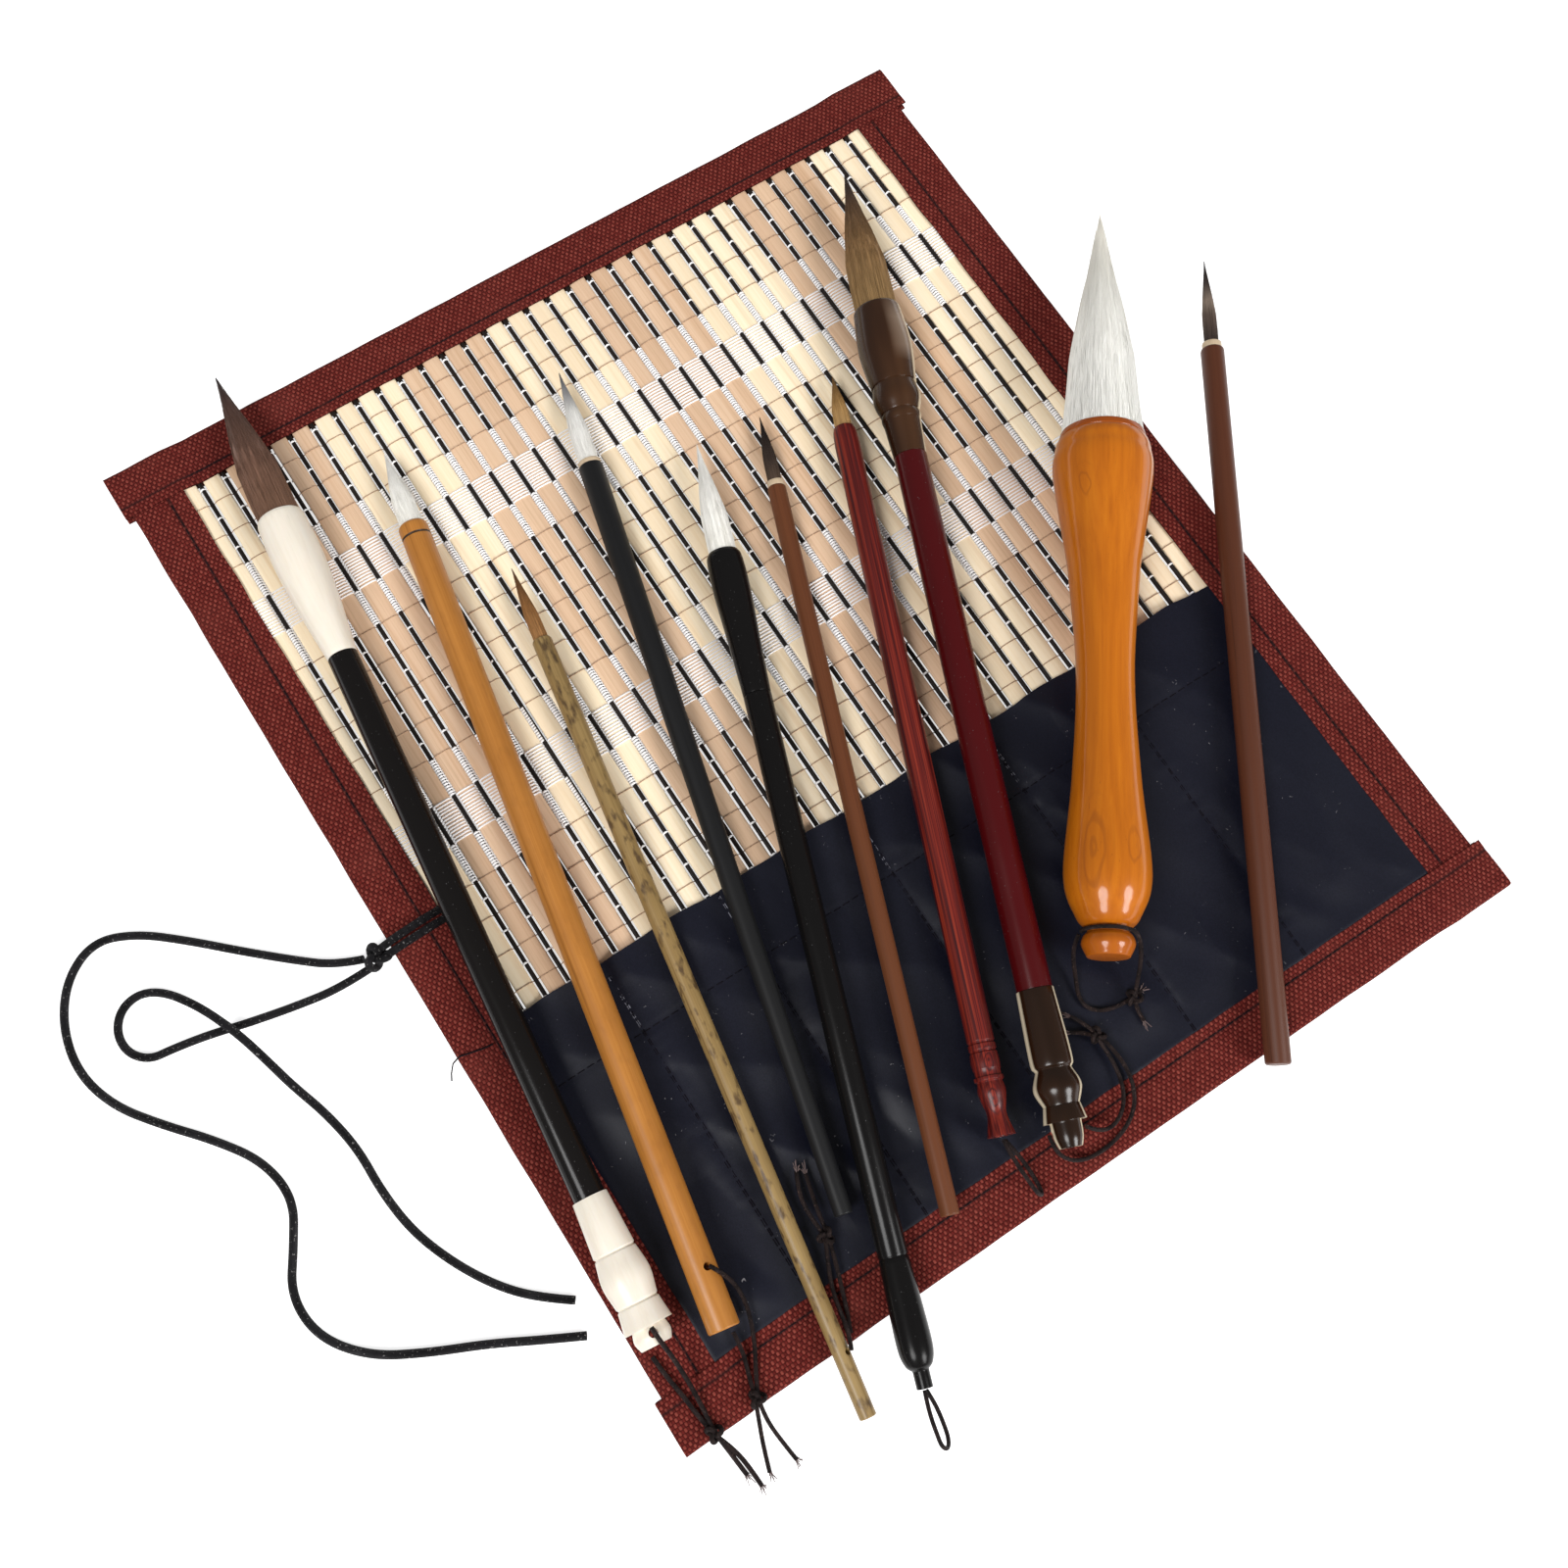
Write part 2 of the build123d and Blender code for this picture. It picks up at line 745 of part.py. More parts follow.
def brush_3():
    """Thin bamboo that tapers to its end, with a cord hole near the end."""
    pieces, outline = plain_brush(
        brush_3_tuft_length,
        brush_3_tuft_diameter,
        0,
        brush_3_handle_length,
        brush_3_handle_diameter,
        brush_3_end_diameter,
        mouth=0.6,
    )
    station = brush_3_handle_length - brush_3_hole_from_end
    pieces["handle"] -= cross_hole(station, brush_3_hole_diameter, 45, 2 * brush_3_handle_diameter)
    return pieces, outline


def brush_4():
    """Matt black handle that tapers to its end."""
    return plain_brush(
        brush_4_tuft_length,
        brush_4_tuft_diameter,
        brush_4_collar_length,
        brush_4_handle_length,
        brush_4_handle_diameter,
        brush_4_end_diameter,
        mouth=0.5,
    )


def brush_5():
    """Swelling head, slim handle, a long rounded bulb and a short neck that holds the loop."""
    head_end = brush_5_head_length
    bulb_start = head_end + brush_5_handle_length
    bulb_end = bulb_start + brush_5_bulb_length
    neck_end = bulb_end + brush_5_neck_length
    size = brush_5_handle_diameter
    tenon = tenon_diameter(size)
    head = turned(
        (
            (0, brush_5_head_mouth),
            (0.07 * head_end, 0.2 * brush_5_head_mouth + 0.8 * brush_5_head_belly),
            (0.3 * head_end, brush_5_head_belly),
            (0.62 * head_end, 0.5 * (brush_5_head_belly + size)),
            (head_end, size),
        )
    )
    handle = turned(
        ((head_end - tenon_length, tenon), (head_end, tenon)),
        ((head_end, size), (bulb_start - 0.5, size)),
        *groove(bulb_start, size, depth=0.25),
        (
            (bulb_start + 0.5, size),
            (bulb_start + 0.35 * brush_5_bulb_length, 0.4 * size + 0.6 * brush_5_bulb_diameter),
            (bulb_start + 0.78 * brush_5_bulb_length, brush_5_bulb_diameter),
            (bulb_start + 0.94 * brush_5_bulb_length, 0.8 * brush_5_bulb_diameter),
            (bulb_end, brush_5_neck_diameter),
        ),
        ((bulb_end, brush_5_neck_diameter), (neck_end, brush_5_neck_diameter)),
    )
    bore = Pos(0, 0, neck_end) * Cylinder(0.62 * brush_5_neck_diameter / 2, brush_5_neck_length)
    return {
        "tuft": tuft(brush_5_tuft_length, brush_5_tuft_diameter),
        "ferrule": head - socket(brush_5_tuft_diameter) - mortise(size, head_end - tenon_length - glue_gap),
        "handle": handle - bore,
    }, [
        (-brush_5_tuft_length, 0),
        (0, brush_5_head_mouth),
        (0.3 * head_end, brush_5_head_belly),
        (head_end, size),
        (bulb_start, size),
        (bulb_start + 0.78 * brush_5_bulb_length, brush_5_bulb_diameter),
        (bulb_end, brush_5_bulb_diameter),
        (neck_end, brush_5_neck_diameter),
    ]


def brush_6():
    """Thin red-brown handle."""
    return plain_brush(
        brush_6_tuft_length,
        brush_6_tuft_diameter,
        brush_6_collar_length,
        brush_6_handle_length,
        brush_6_handle_diameter,
        brush_6_end_diameter,
        mouth=0.5,
    )


def brush_7():
    """Red hardwood, its end turned as rings, a barrel, a waist and a flare."""
    size = brush_7_handle_diameter
    end = brush_7_handle_length
    turned_start = end - brush_7_turned_length
    step = brush_7_turned_length / 26
    handle = turned(
        ((0, brush_7_mouth_diameter), (2, 0.94 * size), (6, size)),
        ((6, size), (turned_start, size)),
        *groove(turned_start + 0.8 * step, size),
        ((turned_start + 1.4 * step, size), (turned_start + 2.6 * step, size)),
        *groove(turned_start + 3.2 * step, size),
        (
            (turned_start + 4 * step, size),
            (turned_start + 6 * step, 1.04 * size),
            (turned_start + 8 * step, size),
        ),
        ((turned_start + 8.5 * step, 0.94 * size), (turned_start + 10 * step, 0.94 * size)),
        ((turned_start + 10 * step, 1.06 * size), (turned_start + 11 * step, 1.06 * size)),
        (
            (turned_start + 11.4 * step, 0.9 * size),
            (turned_start + 14 * step, 1.02 * size),
            (turned_start + 17 * step, 0.86 * size),
            (turned_start + 20.5 * step, brush_7_waist_diameter),
            (end, 1.02 * size),
        ),
    )
    bore = Pos(0, 0, end) * Cylinder(0.4 * brush_7_waist_diameter, 4 * step)
    return {
        "tuft": tuft(brush_7_tuft_length, brush_7_tuft_diameter),
        "handle": handle - socket(brush_7_tuft_diameter) - bore,
    }, [(-brush_7_tuft_length, 0), (0, brush_7_mouth_diameter), (6, size), (end, 1.06 * size)]


def brush_8():
    """Horn ferrule with a belly, a bead and a ring, a lacquered handle and a horn cap."""
    handle_start = brush_8_ferrule_length
    handle_end = handle_start + brush_8_handle_length
    cap_end = handle_end + brush_8_cap_length
    size = brush_8_handle_diameter
    tenon = tenon_diameter(size)
    joint_start = handle_start - tenon_length - glue_gap
    belly_end = 0.535 * handle_start
    bead_end = 0.725 * handle_start
    ring_end = 0.78 * handle_start
    ferrule = turned(
        (
            (0, brush_8_ferrule_mouth),
            (0.31 * handle_start, brush_8_ferrule_belly),
            (belly_end, 0.84 * brush_8_ferrule_belly),
        ),
        (
            (belly_end, 0.93 * brush_8_ferrule_bead),
            ((belly_end + bead_end) / 2, brush_8_ferrule_bead),
            (bead_end, 0.98 * brush_8_ferrule_ring),
        ),
        (
            (bead_end, 0.96 * brush_8_ferrule_ring),
            ((bead_end + ring_end) / 2, brush_8_ferrule_ring),
            (ring_end, 0.95 * brush_8_ferrule_ring),
        ),
        ((ring_end, 0.95 * brush_8_ferrule_ring), (handle_start, size)),
    )
    handle = turned(
        ((handle_start - tenon_length, tenon), (handle_start, tenon)),
        ((handle_start, size), (handle_end, size)),
        ((handle_end, tenon), (handle_end + tenon_length, tenon)),
    )
    sleeve_end = handle_end + 0.61 * brush_8_cap_length
    ball_end = handle_end + 0.88 * brush_8_cap_length
    cap = turned(
        (
            (handle_end, size + 0.5),
            (handle_end + 0.52 * brush_8_cap_length, 0.89 * brush_8_cap_ball),
            (sleeve_end, 0.77 * brush_8_cap_ball),
        ),
        (
            (sleeve_end, 0.75 * brush_8_cap_ball),
            (sleeve_end + 0.5 * (ball_end - sleeve_end), brush_8_cap_ball),
            (ball_end, 0.75 * brush_8_cap_ball),
        ),
        ((ball_end, 0.77 * brush_8_cap_ball), (cap_end, 0.9 * brush_8_cap_ball)),
        (
            (cap_end, brush_8_knob_diameter),
            (cap_end + 0.6 * brush_8_knob_length, 0.93 * brush_8_knob_diameter),
            (cap_end + brush_8_knob_length, 0.74 * brush_8_knob_diameter),
        ),
    )
    hole = cross_hole(cap_end + 2.4, brush_8_hole_diameter, 90, 2 * brush_8_knob_diameter)
    return {
        "tuft": tuft(brush_8_tuft_length, brush_8_tuft_diameter),
        "ferrule": ferrule - socket(brush_8_tuft_diameter) - mortise(size, joint_start),
        "handle": handle,
        "cap": cap - mortise(size, handle_end) - hole,
    }, [
        (-brush_8_tuft_length, 0),
        (0, brush_8_ferrule_mouth),
        (0.31 * handle_start, brush_8_ferrule_belly),
        (bead_end, brush_8_ferrule_bead),
        (handle_start, size),
        (handle_end, size + 0.5),
        (sleeve_end, brush_8_cap_ball),
        (cap_end, brush_8_cap_ball),
        (cap_end + brush_8_knob_length, brush_8_knob_diameter),
    ]


def brush_9():
    """A gourd shaped handle: wide head, slim grip, bulb, neck and knob."""
    length = brush_9_handle_length
    knob_start = length + brush_9_neck_length
    knob_end = knob_start + brush_9_knob_length
    head = brush_9_head_diameter
    grip = brush_9_grip_diameter
    bulb = brush_9_bulb_diameter
    handle = turned(
        (
            (0, brush_9_mouth_diameter),
            (0.125 * length, head),
            (0.31 * length, 0.35 * head + 0.65 * grip),
            (0.52 * length, grip),
            (0.72 * length, 0.35 * bulb + 0.65 * grip),
            (0.9 * length, bulb),
            (0.975 * length, 0.5 * (bulb + brush_9_neck_diameter)),
            (length, brush_9_neck_diameter),
        ),
        ((length, brush_9_neck_diameter), (knob_start, brush_9_neck_diameter)),
        (
            (knob_start, 0.84 * brush_9_knob_diameter),
            (knob_start + 0.18 * brush_9_knob_length, 0.95 * brush_9_knob_diameter),
            (knob_start + 0.5 * brush_9_knob_length, brush_9_knob_diameter),
            (knob_end, 0.8 * brush_9_knob_diameter),
        ),
    )
    return {
        "tuft": tuft(brush_9_tuft_length, brush_9_tuft_diameter, belly=1.12),
        "handle": handle - socket(brush_9_tuft_diameter),
    }, [
        (-brush_9_tuft_length, 0),
        (-0.4 * brush_9_tuft_length, 1.1 * brush_9_tuft_diameter),
        (0, brush_9_mouth_diameter),
        (0.125 * length, head),
        (0.31 * length, 0.35 * head + 0.65 * grip),
        (0.52 * length, grip),
        (0.72 * length, 0.35 * bulb + 0.65 * grip),
        (0.9 * length, bulb),
        (length, brush_9_knob_diameter),
        (knob_end, brush_9_knob_diameter),
    ]


def brush_10():
    """Brown handle of even thickness with softly rounded ends."""
    return plain_brush(
        brush_10_tuft_length,
        brush_10_tuft_diameter,
        brush_10_collar_length,
        brush_10_handle_length,
        brush_10_handle_diameter,
        brush_10_handle_diameter,
        mouth=1.2,
    )


# ---------------------------------------------------------------- cords


def corner_radius(before, corner, after):
    """Radius at a corner of a route: as large as its two runs allow."""
    arriving = Vector(*corner) - Vector(*before)
    leaving = Vector(*after) - Vector(*corner)
    half_turn = math.radians(arriving.get_angle(leaving)) / 2
    return 0.45 * min(arriving.length, leaving.length) / math.tan(half_turn)


def cord(route, diameter):
    """A round cord along its route, every corner rounded."""
    radii = [corner_radius(*corner) for corner in zip(route, route[1:], route[2:])]
    path = FilletPolyline(*route, radius=radii)
    tube = sweep(Plane(origin=path @ 0, z_dir=path % 0) * Circle(diameter / 2), path=path)
    filled = tube.volume / (math.pi * diameter**2 / 4 * path.length)
    print(
        f"cord length {path.length:.1f}, tightest bend {min(radii) / diameter:.1f} diameters,"
        f" volume to section times length {filled:.4f}"
    )
    return tube


def tie_knot():
    """The cord's two strands across the left tape and the knot at the mat's edge."""
    knot = Pos(*tie_knot_at) * Sphere(tie_knot_diameter / 2)
    for route in tie_strands:
        knot += cord(route, tie_cord_diameter)
    return left_edge * knot


def hanging_loop(routes, diameter, knot_at=None):
    """A brush's hanging loop, with its knot where it has one."""
    loop = Pos(*knot_at) * Sphere(loop_knot_diameter / 2) if knot_at else Part()
    for route in routes:
        loop += cord(route, diameter)
    return loop


brushes = [
    (brush_1, brush_1_at, brush_1_heading),
    (brush_2, brush_2_at, brush_2_heading),
    (brush_3, brush_3_at, brush_3_heading),
    (brush_4, brush_4_at, brush_4_heading),
    (brush_5, brush_5_at, brush_5_heading),
    (brush_6, brush_6_at, brush_6_heading),
    (brush_7, brush_7_at, brush_7_heading),
    (brush_8, brush_8_at, brush_8_heading),
    (brush_9, brush_9_at, brush_9_heading),
    (brush_10, brush_10_at, brush_10_heading),
]

os.makedirs("parts", exist_ok=True)

for index in range(strip_count):
    save(woven_strip(index), f"woven_slats_{index + 1}")
    save(pocket_channel(index), f"pocket_channel_{index + 1}")
save(edge_frame(0), "edge_tape_left")
save(edge_frame(strip_count - 1), "edge_tape_right")
for index in range(1, strip_count - 1):
    left, right = strip_span(index, half_width)
    save(end_tape(left, right, 1), f"top_tape_{index + 1}")
    save(end_tape(left, right, -1), f"bottom_tape_{index + 1}")

for number, (build, at, heading) in enumerate(brushes, start=1):
    pieces, outline = build()
    lie = lie_on_mat(outline, at, heading)
    print(f"brush {number}: height {lie.origin.Z:.2f}, direction {lie.z_dir}")
    for name, piece in pieces.items():
        save(lie.location * piece, f"brush_{number}_{name}")

save(tie_knot(), "tie_cord_knot")
save(left_edge * cord(tie_long_route, tie_cord_diameter), "tie_cord_long_tail")
save(left_edge * cord(tie_short_route, tie_cord_diameter), "tie_cord_short_tail")
save(hanging_loop(brush_1_loop_routes, brush_1_loop_diameter, brush_1_loop_knot_at), "brush_1_loop")
save(hanging_loop(brush_2_loop_routes, brush_2_loop_diameter, brush_2_loop_knot_at), "brush_2_loop")
save(hanging_loop(brush_3_loop_routes, brush_3_loop_diameter, brush_3_loop_knot_at), "brush_3_loop")
save(hanging_loop(brush_5_loop_routes, brush_5_loop_diameter), "brush_5_loop")
save(hanging_loop(brush_7_loop_routes, brush_7_loop_diameter), "brush_7_loop")
save(hanging_loop(brush_8_loop_routes, brush_8_loop_diameter, brush_8_loop_knot_at), "brush_8_loop")
save(hanging_loop(brush_9_loop_routes, brush_9_loop_diameter, brush_9_loop_knot_at), "brush_9_loop")
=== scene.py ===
import math
import random

import bmesh
import bpy
from mathutils import Matrix, Vector, noise


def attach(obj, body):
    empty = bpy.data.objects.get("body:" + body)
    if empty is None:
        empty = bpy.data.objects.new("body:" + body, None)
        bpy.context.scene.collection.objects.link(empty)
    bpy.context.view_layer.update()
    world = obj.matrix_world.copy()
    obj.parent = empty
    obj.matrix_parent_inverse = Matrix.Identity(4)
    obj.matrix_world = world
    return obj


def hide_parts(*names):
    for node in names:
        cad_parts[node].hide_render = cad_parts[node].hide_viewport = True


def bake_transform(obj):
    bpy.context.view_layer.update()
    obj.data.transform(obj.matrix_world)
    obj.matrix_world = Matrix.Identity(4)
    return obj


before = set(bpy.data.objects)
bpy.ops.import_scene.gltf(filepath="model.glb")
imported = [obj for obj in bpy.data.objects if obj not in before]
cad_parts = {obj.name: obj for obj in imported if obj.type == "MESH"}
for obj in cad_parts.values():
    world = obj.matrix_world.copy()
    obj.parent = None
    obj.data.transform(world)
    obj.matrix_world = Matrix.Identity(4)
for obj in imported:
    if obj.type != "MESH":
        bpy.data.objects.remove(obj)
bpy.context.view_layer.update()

mm = 0.001

# ---- Table, light and camera ---------------------------------------------------------------------
# A pale matt table top, lit by two large soft boxes, one high on the left and one lower on the
# right. The table reads as white and keeps the soft shadow of what lies on it.


def node(owner, kind, inputs=None, **settings):
    """Add a node to the tree that owner is in; each input gets a value or another node's output."""
    tree = owner.id_data
    new = tree.nodes.new(kind)
    for name, value in settings.items():
        setattr(new, name, value)
    for name, value in (inputs or {}).items():
        if isinstance(value, bpy.types.NodeSocket):
            tree.links.new(value, new.inputs[name])
        else:
            new.inputs[name].default_value = value
    return new


def maths(operation, first, second=0.5):
    """Arithmetic on a node's output and a second output or a number."""
    return node(first, "ShaderNodeMath", {0: first, 1: second}, operation=operation).outputs[0]


def feed(end, value, socket="Base Color"):
    """Link a node's output to a socket of a shader, or of a group's output."""
    end.id_data.links.new(value, end.inputs[socket])


def new_material(name, **values):
    """A material and its shader; values are the shader's sockets, with _ for a space."""
    material = bpy.data.materials.new(name)
    material.use_nodes = True
    shader = material.node_tree.nodes["Principled BSDF"]
    for socket, value in values.items():
        shader.inputs[socket.replace("_", " ")].default_value = value
    return material, shader


def place_in_scene(name, data):
    thing = bpy.data.objects.new(name, data)
    bpy.context.collection.objects.link(thing)
    return thing


table_reach = 30
table_height = -0.3 * mm
table_glow = 0.72
table_material, shader = new_material(
    "table_top", Base_Color=(0.8, 0.8, 0.8, 1), Roughness=0.9, Specular_IOR_Level=0.1, Emission_Color=(1, 1, 1, 1)
)
rays = node(shader, "ShaderNodeLightPath").outputs
seen = maths("MAXIMUM", rays["Is Camera Ray"], rays["Is Glossy Ray"])
seen = maths("MAXIMUM", seen, rays["Is Transmission Ray"])
feed(shader, maths("MULTIPLY", seen, table_glow), "Emission Strength")
mesh = bmesh.new()
bmesh.ops.create_grid(mesh, x_segments=1, y_segments=1, size=table_reach)
bmesh.ops.translate(mesh, verts=mesh.verts, vec=(0, 0, table_height))
table = place_in_scene("table_top", bpy.data.meshes.new("table_top"))
mesh.to_mesh(table.data)
mesh.free()
table.data.materials.append(table_material)

world = bpy.data.worlds.new("studio")
world.use_nodes = True
background = world.node_tree.nodes["Background"].inputs
background["Color"].default_value = (1, 1, 1, 1)
background["Strength"].default_value = 0.27
bpy.context.scene.world = world
bpy.context.scene.view_settings.view_transform = "Standard"

lit_point = Vector((0, 0.15, 0))
for name, place, width, length, power in (
    ("left_box", (-2.6, -0.75, 3.25), 1.9, 1.9, 132.0),
    ("right_box", (1.5, -3.0, 2.45), 1.7, 2.0, 138.0),
):
    lamp = bpy.data.lights.new(name, "AREA")
    lamp.shape = "ELLIPSE"
    lamp.size = width
    lamp.size_y = length
    lamp.energy = power
    box = place_in_scene(name, lamp)
    box.location = place
    box.rotation_euler = (lit_point - Vector(place)).to_track_quat("-Z", "Y").to_euler()

camera = place_in_scene("camera", bpy.data.cameras.new("camera"))
camera.data.sensor_width = 36
camera.data.lens = 39.06
camera.data.clip_start = 0.01
right = Vector((0.83637, -0.54664, 0.04077))
up = Vector((0.51550, 0.80966, 0.28055))
turn = Matrix((right, up, right.cross(up))).transposed().to_4x4()
camera.matrix_world = Matrix.Translation((-0.1129, 0.0335, 0.4781)) @ turn
bpy.context.scene.camera = camera

# ---- Slats ---------------------------------------------------------------------------------------
# Thin splints of split bamboo, crowned on top and planed flat below, side by side in groups of
# pale and tan wood. They are only held by the threads woven between them.

pitch = 7.62 * mm
slat_count = 33
slats_before_fold = (4, 10, 16, 21, 27)
strip_ends = (0, *slats_before_fold, slat_count)
slats_of_strips = list(enumerate(zip(strip_ends, strip_ends[1:]), start=1))
slat_width = 5.4 * mm
slat_bottom = 0.75 * mm
slat_top = 2.25 * mm
slat_near = 10 * mm
slat_far = 320 * mm
slat_steps = 22
slat_crown = 0.42 * mm
folds = [(count - slat_count / 2) * pitch for count in slats_before_fold]


def effect(name, values, results):
    """A new shader node group that takes a place and some values: its inner inputs and outputs."""
    group = bpy.data.node_groups.new(name, "ShaderNodeTree")
    group.interface.new_socket("Place", in_out="INPUT", socket_type="NodeSocketVector")
    for in_out, sockets in (("INPUT", values), ("OUTPUT", results)):
        for socket in sockets:
            group.interface.new_socket(socket, in_out=in_out, socket_type="NodeSocketFloat")
    return group, group.nodes.new("NodeGroupInput").outputs, group.nodes.new("NodeGroupOutput")


def vectors(operation, first, second, output=0):
    """Arithmetic on a node's vector and a second vector, or a number to scale it by."""
    other = "Scale" if operation == "SCALE" else 1
    return node(first, "ShaderNodeVectorMath", {0: first, other: second}, operation=operation).outputs[output]


def cloud(place, scale, detail=2.0, output="Fac", **more):
    """Soft random patches, about `scale` of them per metre."""
    inputs = {"Vector": place, "Scale": scale, "Detail": detail, **more}
    return node(place, "ShaderNodeTexNoise", inputs).outputs[output]


# Streaks that run along Z: wood grain, bamboo fibres and hair.
grain_effect, given, result = effect("grain", ("Across", "Along", "Bend"), ("Fine", "Broad"))
stretch = node(grain_effect, "ShaderNodeCombineXYZ", {0: given["Across"], 1: given["Across"], 2: given["Along"]})
scaled = vectors("MULTIPLY", given["Place"], stretch.outputs[0])
sway = cloud(scaled, 0.12, output="Color")
swayed = vectors("ADD", scaled, vectors("SCALE", sway, given["Bend"]))
feed(result, cloud(swayed, 1.0, 5.0, Roughness=0.65), "Fine")
feed(result, cloud(swayed, 0.22), "Broad")


def grain(place, across, along, bend=0.4):
    """Fine and broad streaks, so many per metre across them and along them."""
    inputs = {0: place, 1: across, 2: along, 3: bend}
    return node(place, "ShaderNodeGroup", inputs, node_tree=grain_effect).outputs


def ramp(value, *stops):
    """A colour ramp: each stop is a position and a colour, or a position and a grey."""
    new = node(value, "ShaderNodeValToRGB", {"Fac": value})
    line = new.color_ramp
    while len(line.elements) < len(stops):
        line.elements.new(0.5)
    for element, (position, colour) in zip(line.elements, stops):
        element.position = position
        element.color = (*colour, 1) if hasattr(colour, "__len__") else (colour, colour, colour, 1)
    return new.outputs["Color"]


def mix(share, first, second, blend="MIX"):
    """Two colours mixed by a share; at least one of the three is a node's output."""
    values = [(*value, 1) if isinstance(value, (tuple, list)) else value for value in (share, first, second)]
    owner = next(value for value in values if isinstance(value, bpy.types.NodeSocket))
    inputs = dict(zip((0, 6, 7), values))
    return node(owner, "ShaderNodeMix", inputs, data_type="RGBA", blend_type=blend).outputs[2]


def bump(shader, height, distance, strength):
    """Relief from a height of 0 to 1 over a real distance."""
    inputs = {"Height": height, "Strength": strength, "Distance": distance}
    feed(shader, node(shader, "ShaderNodeBump", inputs).outputs["Normal"], "Normal")


def object_place(shader):
    return node(shader, "ShaderNodeTexCoord").outputs["Object"]


def stored(shader, name):
    """The outputs of what a mesh stores under a name."""
    return node(shader, "ShaderNodeAttribute", attribute_name=name).outputs


def mapped(place, **inputs):
    return node(place, "ShaderNodeMapping", {"Vector": place, **inputs}).outputs[0]


along_y = {"Rotation": (math.pi / 2, 0, 0)}
bamboo, shader = new_material("split_bamboo", Roughness=0.55, Specular_IOR_Level=0.2)
slat_tag = stored(shader, "slat")
offset = vectors("ADD", mapped(object_place(shader), **along_y), slat_tag["Vector"])
fine, broad = grain(offset, 1500.0, 22.0, 1.2)
tags = node(shader, "ShaderNodeSeparateColor", {"Color": slat_tag["Color"]}).outputs
pale = ramp(fine, (0.26, (0.90, 0.74, 0.50)), (0.5, (0.965, 0.82, 0.60)), (0.75, (0.975, 0.86, 0.67)))
tan = ramp(fine, (0.25, (0.58, 0.39, 0.25)), (0.48, (0.71, 0.495, 0.335)), (0.78, (0.76, 0.56, 0.395)))
tone = ramp(tags["Green"], (0.0, (0.90, 0.86, 0.82)), (0.5, (0.99, 0.98, 0.97)), (1.0, (1.0, 0.98, 0.95)))
wood = mix(1.0, mix(tags["Red"], pale, tan), tone, "MULTIPLY")
stain = ramp(broad, (0.28, (0.86, 0.79, 0.72)), (0.45, (1.0, 1.0, 1.0)))
feed(shader, mix(0.7, wood, stain, "MULTIPLY"))
bump(shader, fine, 0.12 * mm, 0.5)


def new_piece(name, mesh, material, smooth=30):
    """Finish a bmesh as a piece that is smooth but for edges sharper than `smooth` degrees."""
    data = bpy.data.meshes.new(name)
    mesh.to_mesh(data)
    mesh.free()
    data.materials.append(material)
    data.shade_smooth()
    data.set_sharp_from_angle(angle=math.radians(smooth))
    return place_in_scene(name, data)


def belongs(piece, body, slot, *solids):
    """Fix a piece to the body that carries it, in place of the solids that it stands for."""
    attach(piece, body)
    if solids:
        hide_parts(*solids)
    return piece


def add_slat(mesh, layer, middle, tan_wood, chance):
    """One slat: a rounded section drawn out along Y in short steps, each a little out of true."""
    ring = bmesh.ops.create_circle(mesh, segments=16, radius=1, cap_ends=True)["verts"]
    for vert in ring:
        across, height = (math.copysign(abs(share) ** 0.3, share) for share in vert.co.xy)
        crown = slat_crown * across**2 if height > 0 else 0
        middle_height = (slat_bottom + slat_top) / 2
        vert.co = (middle + across * slat_width / 2, slat_near, middle_height + height * 0.75 * mm - crown)
    tag = (tan_wood, chance.random(), chance.random(), 1)
    bend = chance.uniform(0, 100)
    step = (slat_far - slat_near) / slat_steps
    face = ring[0].link_faces[0]
    made = list(ring)
    for index in range(slat_steps):
        drawn = bmesh.ops.extrude_face_region(mesh, geom=[face])["geom"]
        front = [item for item in drawn if isinstance(item, bmesh.types.BMVert)]
        face = next(item for item in drawn if isinstance(item, bmesh.types.BMFace))
        drift = noise.noise(Vector((bend, index * 0.35, 0))) - noise.noise(Vector((bend, index * 0.35 - 0.35, 0)))
        bmesh.ops.translate(mesh, verts=front, vec=(0.25 * mm * drift, step, 0.12 * mm * drift))
        made.extend(front)
    for vert in made:
        vert[layer] = tag


chance = random.Random(5)
for strip, (first, last) in slats_of_strips:
    mesh = bmesh.new()
    layer = mesh.verts.layers.float_color.new("slat")
    for number in range(first, last):
        tan_wood = 0 if (number + 2) % 8 < 4 else 1
        add_slat(mesh, layer, (number + 0.5 - slat_count / 2) * pitch, tan_wood, chance)
    bmesh.ops.recalc_face_normals(mesh, faces=mesh.faces)
    slats = new_piece(f"slats_{strip}", mesh, bamboo, 50)
    belongs(slats, f"mat_strip_{strip}", "bamboo_slats", f"woven_slats_{strip}")

# ---- Reeds ---------------------------------------------------------------------------------------
# Round reeds dyed black, one between each two slats. Like the slats they are only held by the
# threads. Where the mat bends, it bends beside them.

reed_radius = 0.68 * mm
reed_height = 1.5 * mm

dyed_reed, shader = new_material("dyed_reed", Roughness=0.5, Specular_IOR_Level=0.22)
fine = grain(mapped(object_place(shader), **along_y), 2600.0, 40.0)["Fine"]
feed(shader, ramp(fine, (0.3, (0.004, 0.003, 0.003)), (0.62, (0.016, 0.011, 0.009)), (0.8, (0.06, 0.036, 0.022))))
bump(shader, fine, 0.1 * mm, 0.5)

